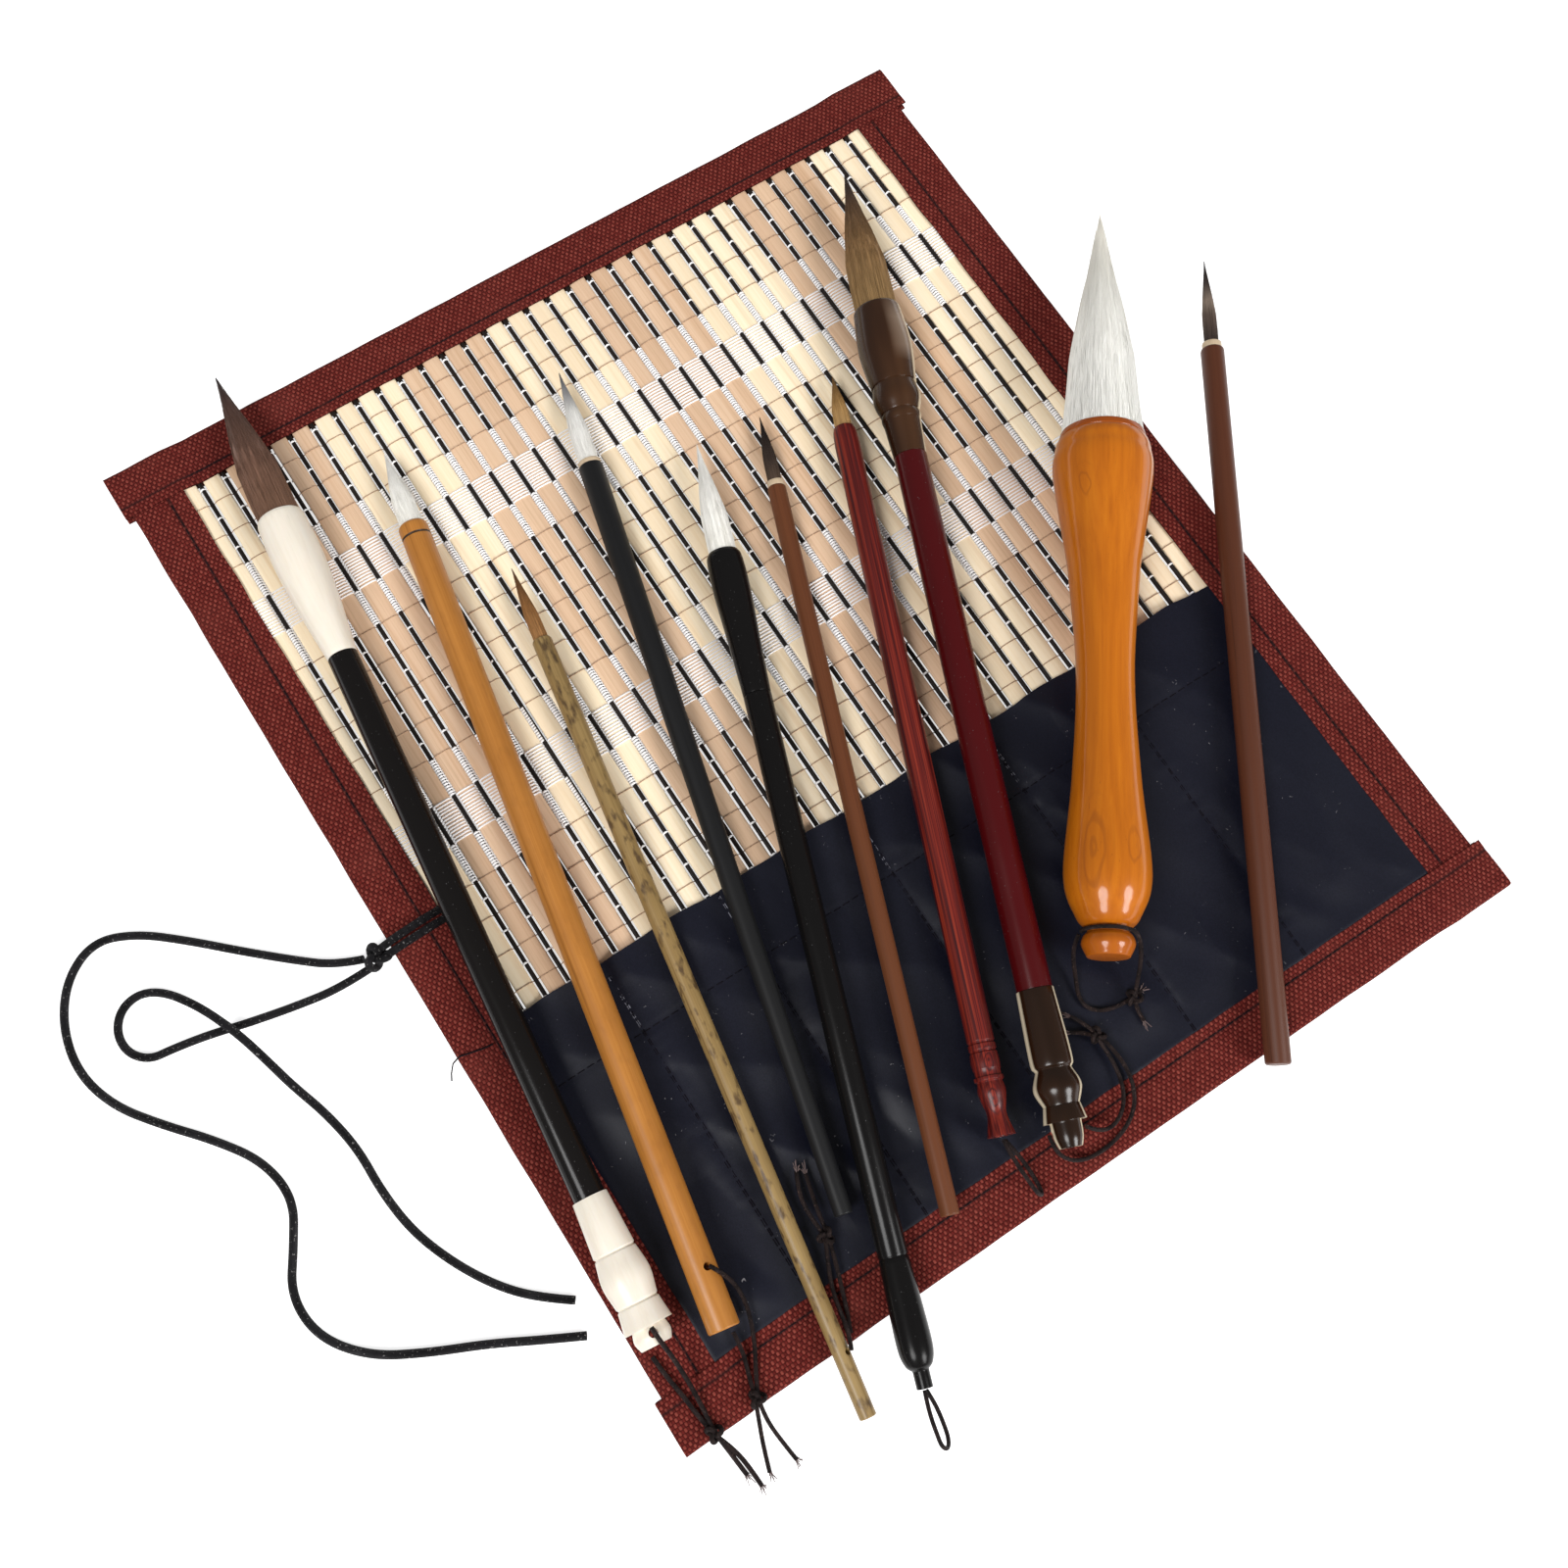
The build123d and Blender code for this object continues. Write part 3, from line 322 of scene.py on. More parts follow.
for strip, (first, last) in slats_of_strips:
    mesh = bmesh.new()
    for number in range(first, min(last, slat_count - 1)):
        length = slat_far - slat_near
        centre = ((number + 1 - slat_count / 2) * pitch, slat_near + length / 2, reed_height)
        turn = Matrix.Translation(centre) @ Matrix.Rotation(math.pi / 2, 4, "X")
        bmesh.ops.create_cone(
            mesh, segments=10, radius1=reed_radius, radius2=reed_radius, depth=length, cap_ends=True, matrix=turn
        )
    reeds = new_piece(f"reeds_{strip}", mesh, dyed_reed)
    belongs(reeds, f"mat_strip_{strip}", "bamboo_slats", f"woven_slats_{strip}")

# ---- Woven threads -------------------------------------------------------------------------------
# The threads that hold slats and reeds together. A slat thread runs over the slats and under the
# reeds, and a reed thread the other way. Packed close together they make pale ribbed bands.

band_middles = (98.7 * mm, 181.7 * mm, 264.7 * mm)
band_spacing = 83 * mm
band_half = 6.1 * mm
band_threads = 13
cover_length = 13.2 * mm
cover_threads = 14
plain_threads = 4
thin = 0.2 * mm
slat_threads = []
reed_threads = []
for middle in (*band_middles, band_middles[0] - band_spacing, band_middles[-1] + band_spacing):
    slat_threads += [(middle - band_half + index * 1.02 * mm, 0.31 * mm) for index in range(band_threads)]
    for side in (-1, 1):
        first = band_half + 0.7 * mm
        reed_threads += [(middle + side * (first + index * 0.9 * mm), 0.38 * mm) for index in range(cover_threads)]
    plain = middle + band_half + cover_length
    gap = (band_spacing - 2 * (band_half + cover_length)) / plain_threads
    slat_threads += [(plain + index * gap, 0.17 * mm) for index in range(plain_threads + 1)]
    reed_threads += [(plain + (index + 0.5) * gap, 0.33 * mm) for index in range(plain_threads)]

thread, shader = new_material("woven_thread", Roughness=0.5, Specular_IOR_Level=0.25)
twist = cloud(object_place(shader), 2600.0, 3.0)
# The brown also serves as painted shade on band yarn that lies deep in the gaps beside the reeds.
brown_and_shade_colour = ramp(twist, (0.35, (0.27, 0.15, 0.09)), (0.7, (0.60, 0.42, 0.28)))
pale_colour = ramp(twist, (0.3, (0.88, 0.84, 0.83)), (0.5, (0.96, 0.95, 0.95)))
feed(shader, mix(stored(shader, "thread")["Fac"], brown_and_shade_colour, pale_colour))
bump(shader, twist, 0.05 * mm, 0.6)

over_slat = ((-2.72, 1.86), (-1.9, 2.28), (0, 2.37), (1.9, 2.28), (2.72, 1.86), (3.2, 1.0), (3.81, 0.62))
under_slat = ((-2.72, 0.9), (-1.9, 0.62), (0, 0.58), (1.9, 0.62), (2.72, 0.95), (3.2, 1.95), (3.81, 2.36))


def thread_points(shape, start, stop, y, radius, chance):
    """Points of one thread from X = start to stop, waving between the slats."""
    points = []
    wander = (0.16 if radius < thin else 0.05) * mm
    for number in range(-1, slat_count):
        middle = (number + 0.5 - slat_count / 2) * pitch
        drift = y + chance.uniform(-wander, wander)
        for across, height in shape:
            x = middle + across * mm
            if start <= x <= stop:
                points.append((x, drift, height * mm))
    return points


def mesh_of(curve):
    """A curve's mesh under the same name; the curve's own object is thrown away."""
    holder = bpy.data.objects.new(curve.name, curve)
    data = bpy.data.meshes.new_from_object(holder)
    bpy.data.objects.remove(holder)
    data.name = curve.name
    return data


def tubes(name, lines, material, sides_level=0):
    """A piece of thin tubes. A line is its points, and one radius or a radius for each point."""
    curve = bpy.data.curves.new(name, "CURVE")
    curve.dimensions = "3D"
    curve.bevel_depth = 1.0
    curve.bevel_resolution = sides_level
    curve.use_fill_caps = True
    for points, radius in lines:
        spline = curve.splines.new("POLY")
        spline.points.add(len(points) - 1)
        radii = radius if hasattr(radius, "__len__") else [radius] * len(points)
        for place, point, size in zip(spline.points, points, radii):
            place.co = (*point, 1)
            place.radius = size
    piece = place_in_scene(name, mesh_of(curve))
    piece.data.shade_smooth()
    piece.data.materials.append(material)
    return piece


def mark(piece, name, values):
    """Store one number per vertex of a piece under a name that its material reads."""
    layer = piece.data.attributes.new(name, "FLOAT", "POINT")
    layer.data.foreach_set("value", values)


def pale_unless_brown_or_shaded(point):
    """1 for the pale yarn; 0 for the brown threads between the bands, and 0 as painted shade where band yarn lies deep
    in a gap.
    """
    brown = any(radius < thin and abs(point.y - place) < 0.36 * mm for place, radius in slat_threads)
    in_band = any(abs(point.y - middle) < band_half + 0.35 * mm for middle in band_middles)
    # Band yarn low in a gap is given the brown as painted shade.
    return 0.0 if brown or (in_band and point.z < 1.85 * mm) else 1.0


def bends(piece, number, slot, *solids, reach=3.6 * mm):
    """Bake a piece's placement into its mesh, in place of the solids that it stands for."""
    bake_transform(piece)
    if solids:
        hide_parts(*solids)


strip_middles = [(near + far) / 2 for near, far in zip(folds, folds[1:])]
sewn_ends = [-slat_count / 2 * pitch, *strip_middles, slat_count / 2 * pitch]
for number, (start, stop) in enumerate(zip(sewn_ends, sewn_ends[1:]), start=1):
    chance = random.Random(40)
    lines = []
    for shape, group in ((over_slat, slat_threads), (under_slat, reed_threads)):
        for y, radius in group:
            if slat_near + 2 * mm < y < slat_far - 2 * mm:
                lines.append((thread_points(shape, start, stop + 0.01 * mm, y, radius, chance), radius))
    threads = tubes(f"threads_{number}", lines, thread)
    mark(threads, "thread", [pale_unless_brown_or_shaded(vert.co) for vert in threads.data.vertices])
    solids = f"woven_slats_{number}", f"woven_slats_{number + 1}"
    bends(threads, number, "bamboo_slats", *solids, reach=1.1 * mm)

# ---- Edge tapes ----------------------------------------------------------------------------------
# Maroon cotton tape in a coarse basket weave, folded over all four edges of the mat. The side
# tapes go on first, and the end tapes are folded over them at the corners.

near_edge = 0.0
far_edge = 0.330
half_width = slat_count / 2 * pitch + 14.27 * mm
end_overhang = 2 * mm
tape_thickness = 0.5 * mm
tape_top = 2.98 * mm
tape_bottom = 0.02 * mm
tape_nose = 1.3 * mm
tape_upper = 1.5 * mm
side_depth = 17 * mm
end_depth = 16 * mm
side_stitch = 11.6 * mm
end_stitch = 12.5 * mm


def split(place):
    return node(place, "ShaderNodeSeparateXYZ", {0: place}).outputs


def crossing(waves, roundness):
    """How high threads stand that cross over and under each other, and which of them is on top."""
    product = maths("MULTIPLY", *waves)
    return maths("POWER", maths("ABSOLUTE", product), roundness), maths("GREATER_THAN", product, 0.0)


weave_effect, given, result = effect("weave", ("Across", "Along", "Drift"), ("Height", "Warp", "Thread"))
wobble = cloud(given["Place"], 260.0, 1.0, "Color")
drift = vectors("SCALE", vectors("SUBTRACT", wobble, (0.5, 0.5, 0.5)), given["Drift"])
axes = split(vectors("ADD", given["Place"], drift))
waves = []
rows = []
for axis, count in (("X", "Across"), ("Y", "Along")):
    turns = maths("MULTIPLY", axes[axis], given[count])
    waves.append(maths("SINE", maths("MULTIPLY", turns, math.pi)))
    rows.append(maths("FLOOR", turns))
height, warp = crossing(waves, 0.45)
cell = node(weave_effect, "ShaderNodeCombineXYZ", {0: rows[0], 1: rows[1]}).outputs[0]
feed(result, height, "Height")
feed(result, warp, "Warp")
feed(result, node(weave_effect, "ShaderNodeTexWhiteNoise", {"Vector": cell}).outputs["Value"], "Thread")


def weave(place, across, along, drift):
    """Height, which thread is on top, and a number per thread, of a weave of threads per metre."""
    inputs = {0: place, 1: across, 2: along, 3: drift}
    return node(place, "ShaderNodeGroup", inputs, node_tree=weave_effect).outputs


tape_cloth, shader = new_material("maroon_tape", Roughness=0.86, Specular_IOR_Level=0.08)
cut = node(shader, "ShaderNodeUVMap", uv_map="cut").outputs["UV"]
height, warp, number = weave(cut, 860.0, 1180.0, 0.00035)
dark = ramp(number, (0.0, (0.078, 0.0090, 0.0078)), (1.0, (0.120, 0.0140, 0.0115)))
light = ramp(number, (0.0, (0.160, 0.026, 0.020)), (1.0, (0.240, 0.050, 0.037)))
# Painted shade: the weave is darker where its threads dip low.
deep = ramp(height, (0.2, (0.30, 0.24, 0.24)), (0.68, (1.0, 1.0, 1.0)))
colour = mix(1.0, mix(warp, dark, light), deep, "MULTIPLY")
colour = mix(ramp(cloud(cut, 45.0, 4.0), (0.52, 0.0), (0.78, 0.25)), colour, (0.20, 0.050, 0.038))
# Painted shadow: a dark line in the groove that the stitches pull into the tape.
groove = maths("ABSOLUTE", stored(shader, "from_seam")["Fac"])
feed(shader, mix(ramp(maths("MULTIPLY", groove, 1000.0), (0.15, 0.72), (0.8, 0.0)), colour, (0.018, 0.008, 0.008)))
bump(shader, height, 0.22 * mm, 0.8)


def cloth(left, right, length, step):
    """Flat cloth from X = left to right and Y = 0 to length. Its UVs are metres of cloth."""
    mesh = bmesh.new()
    across = max(2, round((right - left) / step))
    along = max(2, round(length / step))
    bmesh.ops.create_grid(mesh, x_segments=across, y_segments=along, size=0.5)
    bmesh.ops.scale(mesh, vec=(right - left, length, 1), verts=mesh.verts)
    bmesh.ops.translate(mesh, vec=((left + right) / 2, length / 2, 0), verts=mesh.verts)
    layer = mesh.loops.layers.uv.new("cut")
    for face in mesh.faces:
        for loop in face.loops:
            loop[layer].uv = loop.vert.co.xy
    return mesh


def thicken(mesh, thickness, above=0.0):
    """Turn the upper face of a sheet up, judged by what lies above a height, and thicken it down."""
    bmesh.ops.recalc_face_normals(mesh, faces=mesh.faces)
    if sum(face.normal.z for face in mesh.faces if face.calc_center_median().z > above) < 0:
        bmesh.ops.reverse_faces(mesh, faces=mesh.faces)
    bmesh.ops.solidify(mesh, geom=mesh.faces, thickness=thickness)


def ripple(*place, size=1.0):
    """Gentle unevenness of a hand-sewn piece, from -size to size."""
    return size * noise.noise(Vector(place))


def fold_over(arc, depth):
    """Distance from the mat's edge and height, `arc` along a tape folded round it, top first."""
    flat = depth - tape_nose
    reach = (tape_top - tape_bottom) / 2
    nose = math.pi * (tape_nose + reach) / 2
    if arc <= flat:
        return depth - arc, tape_top
    if arc < flat + nose:
        angle = math.pi * (arc - flat) / nose
        return tape_nose * (1 - math.sin(angle)), tape_bottom + reach * (1 + math.cos(angle))
    return tape_nose + arc - flat - nose, tape_bottom


def tape_length(depth):
    reach = (tape_top - tape_bottom) / 2
    return 2 * (depth - tape_nose) + math.pi * (tape_nose + reach) / 2


def tape_mesh(start, stop, depth, stitch, warp_along, place):
    """Folded tape from start to stop along the mat's edge; place(along, inwards, height) is a point."""
    mesh = cloth(start, stop, tape_length(depth), 1.2 * mm)
    if not warp_along:
        layer = mesh.loops.layers.uv["cut"]
        for face in mesh.faces:
            for loop in face.loops:
                loop[layer].uv = loop[layer].uv.yx
    from_seam = mesh.verts.layers.float.new("from_seam")
    for vert in mesh.verts:
        along, arc = vert.co.x, vert.co.y
        inwards, height = fold_over(arc, depth)
        vert[from_seam] = inwards - stitch
        if height > tape_upper:
            pull = math.exp(-(((inwards - stitch) / (0.9 * mm)) ** 2))
            soft = ripple(along * 60, inwards * 120, 3, size=0.16 * mm)
            soft += ripple(along * 240, inwards * 240, 7, size=0.06 * mm)
            height += soft - 0.16 * mm * pull - 0.05 * mm
        edge = max(0, inwards - depth + 2 * mm) / (2 * mm)
        inwards += edge * ripple(along * 90, height * 900, 5, size=0.3 * mm)
        nose = max(0, 1.5 * mm - inwards) / (1.5 * mm)
        inwards += nose * (0.12 * mm + ripple(along * 70, 2, 9, size=0.25 * mm))
        vert.co = place(along, inwards, height)
    thicken(mesh, tape_thickness, above=2 * mm)
    return mesh


sides = (("left", -1, "mat_strip_1", "edge_tape_left"), ("right", 1, "mat_strip_6", "edge_tape_right"))
for side, sign, strip, solid in sides:

    def on_side(along, inwards, height):
        return sign * (half_width - inwards), along, height

    mesh = tape_mesh(near_edge + 1 * mm, far_edge - 1 * mm, side_depth, side_stitch, True, on_side)
    tape = new_piece(f"side_tape_{side}", mesh, tape_cloth, 60)
    belongs(tape, strip, "maroon_tape", solid)

tape_ends = [-half_width - end_overhang, *strip_middles, half_width + end_overhang]
end_tapes = [
    (edge, line, sign, word, number, start, stop)
    for edge, line, sign, word in (("near", near_edge, 1, "bottom"), ("far", far_edge, -1, "top"))
    for number, (start, stop) in enumerate(zip(tape_ends, tape_ends[1:]), start=1)
]
for edge, line, sign, word, number, start, stop in end_tapes:

    def on_edge(along, inwards, height):
        over_side = 0.35 * mm * min(1, max(0, (abs(along) - half_width + side_depth) / (7 * mm) + 1))
        lift = over_side if height > tape_upper else 0
        return along, line + sign * (inwards - over_side), height + lift

    mesh = tape_mesh(start, stop, end_depth, end_stitch, False, on_edge)
    tape = new_piece(f"end_tape_{edge}_{number}", mesh, tape_cloth, 60)
    solids = ["edge_tape_left" if number == 1 else f"{word}_tape_{number}"]
    solids += ["edge_tape_right" if number == 5 else f"{word}_tape_{number + 1}"]
    bends(tape, number, "maroon_tape", *solids)

# ---- Stitching -----------------------------------------------------------------------------------
# Machine stitches in dark thread, one line along each tape a little in from its edge, sunk into
# the cloth and seen from above. One loose end of thread lies on the left tape.

stitch_length = 2.6 * mm
stitch_gap = 0.45 * mm
stitch_radius = 0.2 * mm
stitch_depth = 0.28 * mm
seam_end = 16.5 * mm

dark_thread, shader = new_material("dark_thread", Roughness=0.7, Specular_IOR_Level=0.05)
fibre = cloud(object_place(shader), 3500.0)
feed(shader, ramp(fibre, (0.3, (0.004, 0.003, 0.004)), (0.7, (0.018, 0.013, 0.015))))
bump(shader, fibre, 0.06 * mm, 0.6)


def stitches(start, stop, place, chance):
    """Stitches from start to stop along a seam; place(along, drift) is a point of the seam."""
    lines = []
    along = start
    while along + stitch_length < stop:
        drift = chance.uniform(-0.08, 0.08) * mm
        first = Vector(place(along, drift))
        last = Vector(place(along + stitch_length, drift))
        dip = Vector((0, 0, stitch_depth))
        share = (last - first) * 0.14
        lines.append(([first - dip, first + share, last - share, last - dip], stitch_radius))
        along += stitch_length + stitch_gap
    return lines


chance = random.Random(12)
seam_top = tape_top - 0.16 * mm
for side, sign, strip, solid in sides:

    def on_seam(along, drift):
        return sign * (half_width - side_stitch) + drift, along, seam_top

    lines = stitches(near_edge + seam_end, far_edge - seam_end, on_seam, chance)
    belongs(tubes(f"side_stitches_{side}", lines, dark_thread, 1), strip, "maroon_tape")
loose_end = (
    (-129.6, 119.8, 3.4), (-132.8, 120.2, 3.5), (-139.2, 121.8, 3.5), (-141.6, 121.2, 2.6), (-143.4, 119.4, 0.9),
    (-144.4, 117.6, 0.5),
)
loose = tubes("loose_thread", [([Vector(point) * mm for point in loose_end], 0.24 * mm)], dark_thread, 1)
belongs(loose, "mat_strip_1", "maroon_tape")
for edge, line, sign, word, number, start, stop in end_tapes:

    def on_seam(along, drift):
        return along, line + sign * end_stitch + drift, seam_top

    lines = stitches(start + 0.2 * mm, stop, on_seam, chance)
    bends(tubes(f"end_stitches_{edge}_{number}", lines, dark_thread, 1), number, "maroon_tape")

# ---- Pocket --------------------------------------------------------------------------------------
# A panel of navy satin sewn over the near part of the slats along five seams, so that it holds a
# row of brushes. Its mouth has a deep hem, and it puckers beside every seam.

pocket_side = 123.9 * mm
pocket_near = 15.1 * mm
pocket_mouth = 123.0 * mm
pocket_length = pocket_mouth - pocket_near
hem_line = 100.0 * mm
satin_thickness = 0.3 * mm
satin_low = 2.62 * mm
puff = 1.35 * mm
flat_beside_tape = 15 * mm
fold_size = 0.95 * mm
pucker_size = 0.32 * mm
pocket_seams = [-pocket_side, -92.8 * mm, -54.5 * mm, -8.8 * mm, 37.8 * mm, 77.7 * mm, pocket_side]

satin, shader = new_material("navy_satin", Roughness=0.4, Specular_IOR_Level=0.21, Anisotropic=0.4)
cut = node(shader, "ShaderNodeUVMap", uv_map="cut").outputs["UV"]
height, warp, number = weave(cut, 4200.0, 2600.0, 0.0001)
base = ramp(number, (0.0, (0.0052, 0.0056, 0.0115)), (1.0, (0.0078, 0.0084, 0.0165)))
dust = cloud(cut, 620.0, Distortion=1.5)
patch = cloud(cut, 24.0, 3.0)
flecks = maths("MULTIPLY", ramp(dust, (0.735, 0.0), (0.765, 1.0)), ramp(patch, (0.4, 0.0), (0.6, 1.0)))
# Painted sheen: soft lighter bluish patches on the satin.
colour = mix(ramp(patch, (0.45, 0.0), (0.8, 0.4)), base, (0.011, 0.012, 0.022))
feed(shader, mix(maths("MULTIPLY", flecks, 0.6), colour, (0.36, 0.35, 0.37)))
bump(shader, height, 0.03 * mm, 0.35)

# The seams' thread is worn pale for a short way below the mouth.
worn_thread, shader = new_material("worn_thread", Roughness=0.7, Specular_IOR_Level=0.05)
lint = ramp(cloud(object_place(shader), 900.0), (0.42, 0.0), (0.55, 1.0))
near_mouth = ramp(maths("MULTIPLY", split(object_place(shader))["Y"], 8.0), (0.80, 0.0), (0.85, 1.0))
feed(shader, mix(maths("MULTIPLY", near_mouth, lint), (0.006, 0.005, 0.008), (0.21, 0.21, 0.25)))


def between_seams(x):
    """The seams either side of x, and how far x lies between them, from 0 to 1."""
    for left, right in zip(pocket_seams, pocket_seams[1:]):
        if x <= right:
            return left, right, min(1, max(0, (x - left) / (right - left)))
    return pocket_seams[-2], pocket_seams[-1], 1


def satin_height(x, y):
    """Height of the cloth: puffed between its seams, with soft folds that run from the seams."""
    left, right, share = between_seams(x)
    near_seam = min(x - left, right - x)
    dome = (4 * share * (1 - share)) ** 0.55 if 0 < share < 1 else 0
    mouth = max(0, (y - hem_line) / (pocket_mouth - hem_line))
    slack = 0.55 + 0.45 * noise.noise(Vector((left * 50, y * 14, 4))) + 0.25 * mouth
    creases = 0.9 - 3.2 * abs(noise.noise(Vector((x * 38 + y * 26, y * 12, 1))))
    creases += 0.7 * noise.noise(Vector((x * 75 - y * 30, y * 22, 2)))
    creases += 1.4 * math.exp((pocket_near - y) / (14 * mm)) * noise.noise(Vector((x * 120 + y * 60, y * 45, 6)))
    pucker = math.exp(-near_seam / (3.0 * mm)) * noise.noise(Vector((x * 40, y * 330, 3)))
    hem_dip = math.exp(-(((y - hem_line) / (0.9 * mm)) ** 2))
    height = puff * dome * slack + fold_size * creases * min(1, near_seam / (6 * mm)) + pucker_size * pucker
    from_tape = min(1, max(0, min(y - 16 * mm, 122.8 * mm - abs(x)) / flat_beside_tape))
    under_tape = max(0, 1 - min(y - pocket_near, pocket_side - abs(x)) / (0.9 * mm))
    rise = max(0, height) * from_tape**2 * (3 - 2 * from_tape)
    return satin_low + rise - 0.18 * mm * hem_dip - 0.42 * mm * under_tape


pocket_ends = [-pocket_side, *strip_middles, pocket_side]
for number, (start, stop) in enumerate(zip(pocket_ends, pocket_ends[1:]), start=1):
    mesh = cloth(start, stop, pocket_length, 0.95 * mm)
    for vert in mesh.verts:
        x, y = vert.co.x, pocket_near + vert.co.y
        _, _, share = between_seams(x)
        mouth = max(0, (vert.co.y / pocket_length - 0.8) / 0.2)
        scallop = 0.9 * mm * (math.sin(math.pi * share) - 0.5) + ripple(x * 70, 5, 8, size=0.8 * mm)
        vert.co = (x, y + mouth * scallop, satin_height(x, y) + satin_thickness)
    thicken(mesh, satin_thickness)
    panel = new_piece(f"pocket_{number}", mesh, satin, 60)
    bends(panel, number, "pocket_satin", f"pocket_channel_{number}", f"pocket_channel_{number + 1}")

    lines = []
    for seam in pocket_seams[1:-1]:
        if start <= seam < stop:
            for place in (-0.28 * mm, 0.28 * mm):

                def on_seam(along, drift):
                    return seam + place + drift, along, satin_height(seam, along) + satin_thickness

                lines += stitches(pocket_near + 1 * mm, pocket_mouth, on_seam, chance)

    def on_hem(along, drift):
        return along, hem_line + drift, satin_height(along, hem_line) + 0.32 * mm

    lines += stitches(start + 0.3 * mm, stop, on_hem, chance)
    bends(tubes(f"pocket_stitches_{number}", lines, worn_thread, 1), number, "pocket_satin")

# ---- Tie cord ------------------------------------------------------------------------------------
# A round black braid, sewn double across the left tape, with painted glints of shiny yarn on it.
# It is knotted at the mat's edge and its two long tails, cut off square, go round the rolled-up mat.

tie_diameter = 2.4 * mm
tie_knot_at = (-144.4, 158.2, 3.6)
tie_strands = (
    ((-121.8, 160.6, 3.6), (-126.4, 160.5, 4.4), (-133.0, 160.3, 4.5), (-138.6, 160.0, 4.4), (-143.2, 159.6, 4.0)),
    ((-121.8, 157.6, 3.6), (-126.4, 157.5, 4.4), (-133.0, 157.3, 4.5), (-138.6, 157.1, 4.4), (-143.2, 156.9, 4.0)),
)


def on_table(*points):
    """Points of the tie's centre line where it lies on the table."""
    return [(*point, 1.25) for point in points]


tie_long_route = [(-147.8, 159.8, 3.0), (-155.4, 163.0, 1.6)] + on_table(
    (-164.0, 170.2), (-175.4, 180.6), (-186.6, 191.4), (-197.4, 200.6), (-208.6, 205.2), (-219.4, 199.6),
    (-226.4, 188.4), (-228.6, 174.6), (-224.6, 161.4), (-215.8, 149.6), (-206.0, 138.4), (-197.8, 126.4),
    (-195.6, 113.4), (-201.6, 102.4), (-208.4, 91.6), (-207.4, 78.4), (-198.4, 66.8), (-184.8, 59.0),
    (-170.6, 52.4), (-158.6, 45.6), (-148.0, 40.0),
)
tie_short_route = [(-148.0, 156.6, 2.8), (-157.4, 156.6, 1.4)] + on_table(
    (-170.2, 158.8), (-182.6, 161.6), (-194.4, 164.8), (-204.2, 166.6), (-210.6, 167.3), (-214.9, 172.2),
    (-214.9, 178.8), (-210.9, 184.0), (-204.6, 185.3),
)
tie_short_route += [
    (-198.6, 181.8, 1.5), (-193.4, 174.4, 2.8), (-189.4, 166.6, 4.4), (-186.2, 158.4, 4.4), (-183.8, 149.6, 2.8),
    (-181.4, 140.0, 1.4),
]
tie_short_route += on_table(
    (-177.4, 128.4), (-174.8, 115.4), (-175.0, 101.8), (-173.2, 88.4), (-168.2, 75.4), (-161.4, 63.8),
    (-153.6, 55.2), (-145.9, 49.4),
)


def braid_material(name, dark, lighter, fleck, share, strands, lay_length):
    """Braided cord: strands wound both ways round it, with painted shade in the hollows between strands and painted
    glints of shiny yarn on a few crests.
    """
    material, shader = new_material(name, Roughness=0.62, Specular_IOR_Level=0.2)
    axes = split(node(shader, "ShaderNodeUVMap", uv_map="UVMap").outputs["UV"])
    round_it = maths("MULTIPLY", axes["X"], float(strands))
    along_it = maths("MULTIPLY", axes["Y"], strands / lay_length)
    turns = [maths(operation, round_it, along_it) for operation in ("ADD", "SUBTRACT")]
    height, top = crossing([maths("SINE", maths("MULTIPLY", turn, math.pi)) for turn in turns], 0.5)
    # Painted shade: the cord is darker in the hollows between its strands.
    colour = mix(height, [value * 0.3 for value in dark], dark)
    colour = mix(maths("MULTIPLY", top, 0.6), colour, lighter)
    # Painted glints: pale flecks on a few crests stand for light off shiny yarn.
    pale = ramp(cloud(object_place(shader), 1300.0, 1.0), (share, 0.0), (share + 0.03, 1.0))
    pale = maths("MULTIPLY", pale, ramp(height, (0.55, 0.0), (0.75, 1.0)))
    feed(shader, mix(pale, colour, fleck))
    bump(shader, height, 0.25 * mm, 0.9)
    return material


tie_braid = braid_material(
    "black_braid", (0.012, 0.011, 0.013), (0.03, 0.028, 0.032), (0.45, 0.43, 0.42), 0.66, 8, 2.6 * mm
)


def rounded_line(name, route):
    """A curve of one NURBS spline that is drawn by the route's points, given in millimetres."""
    curve = bpy.data.curves.new(name, "CURVE")
    curve.dimensions = "3D"
    curve.resolution_u = 12
    spline = curve.splines.new("NURBS")
    spline.points.add(len(route) - 1)
    for place, point in zip(spline.points, route):
        place.co = (*(Vector(point) * mm), 1)
    spline.order_u = 3
    spline.use_endpoint_u = True
    return curve


def braid(name, route, diameter, material):
    """A cord along its route, its UVs round it and, in metres, along it; and its centre line."""
    line = mesh_of(rounded_line("line", route))
    points = [vert.co.copy() for vert in line.vertices]
    bpy.data.meshes.remove(line)
    length = sum((after - before).length for before, after in zip(points, points[1:]))
    curve = rounded_line(name, route)
    curve.bevel_depth = diameter / 2
    curve.bevel_resolution = 4
    curve.use_fill_caps = True
    data = mesh_of(curve)
    for corner in data.uv_layers[0].data:
        corner.uv.y *= length
    data.materials.append(material)
    data.shade_smooth()
    data.set_sharp_from_angle(angle=math.radians(60))
    return place_in_scene(name, data), points


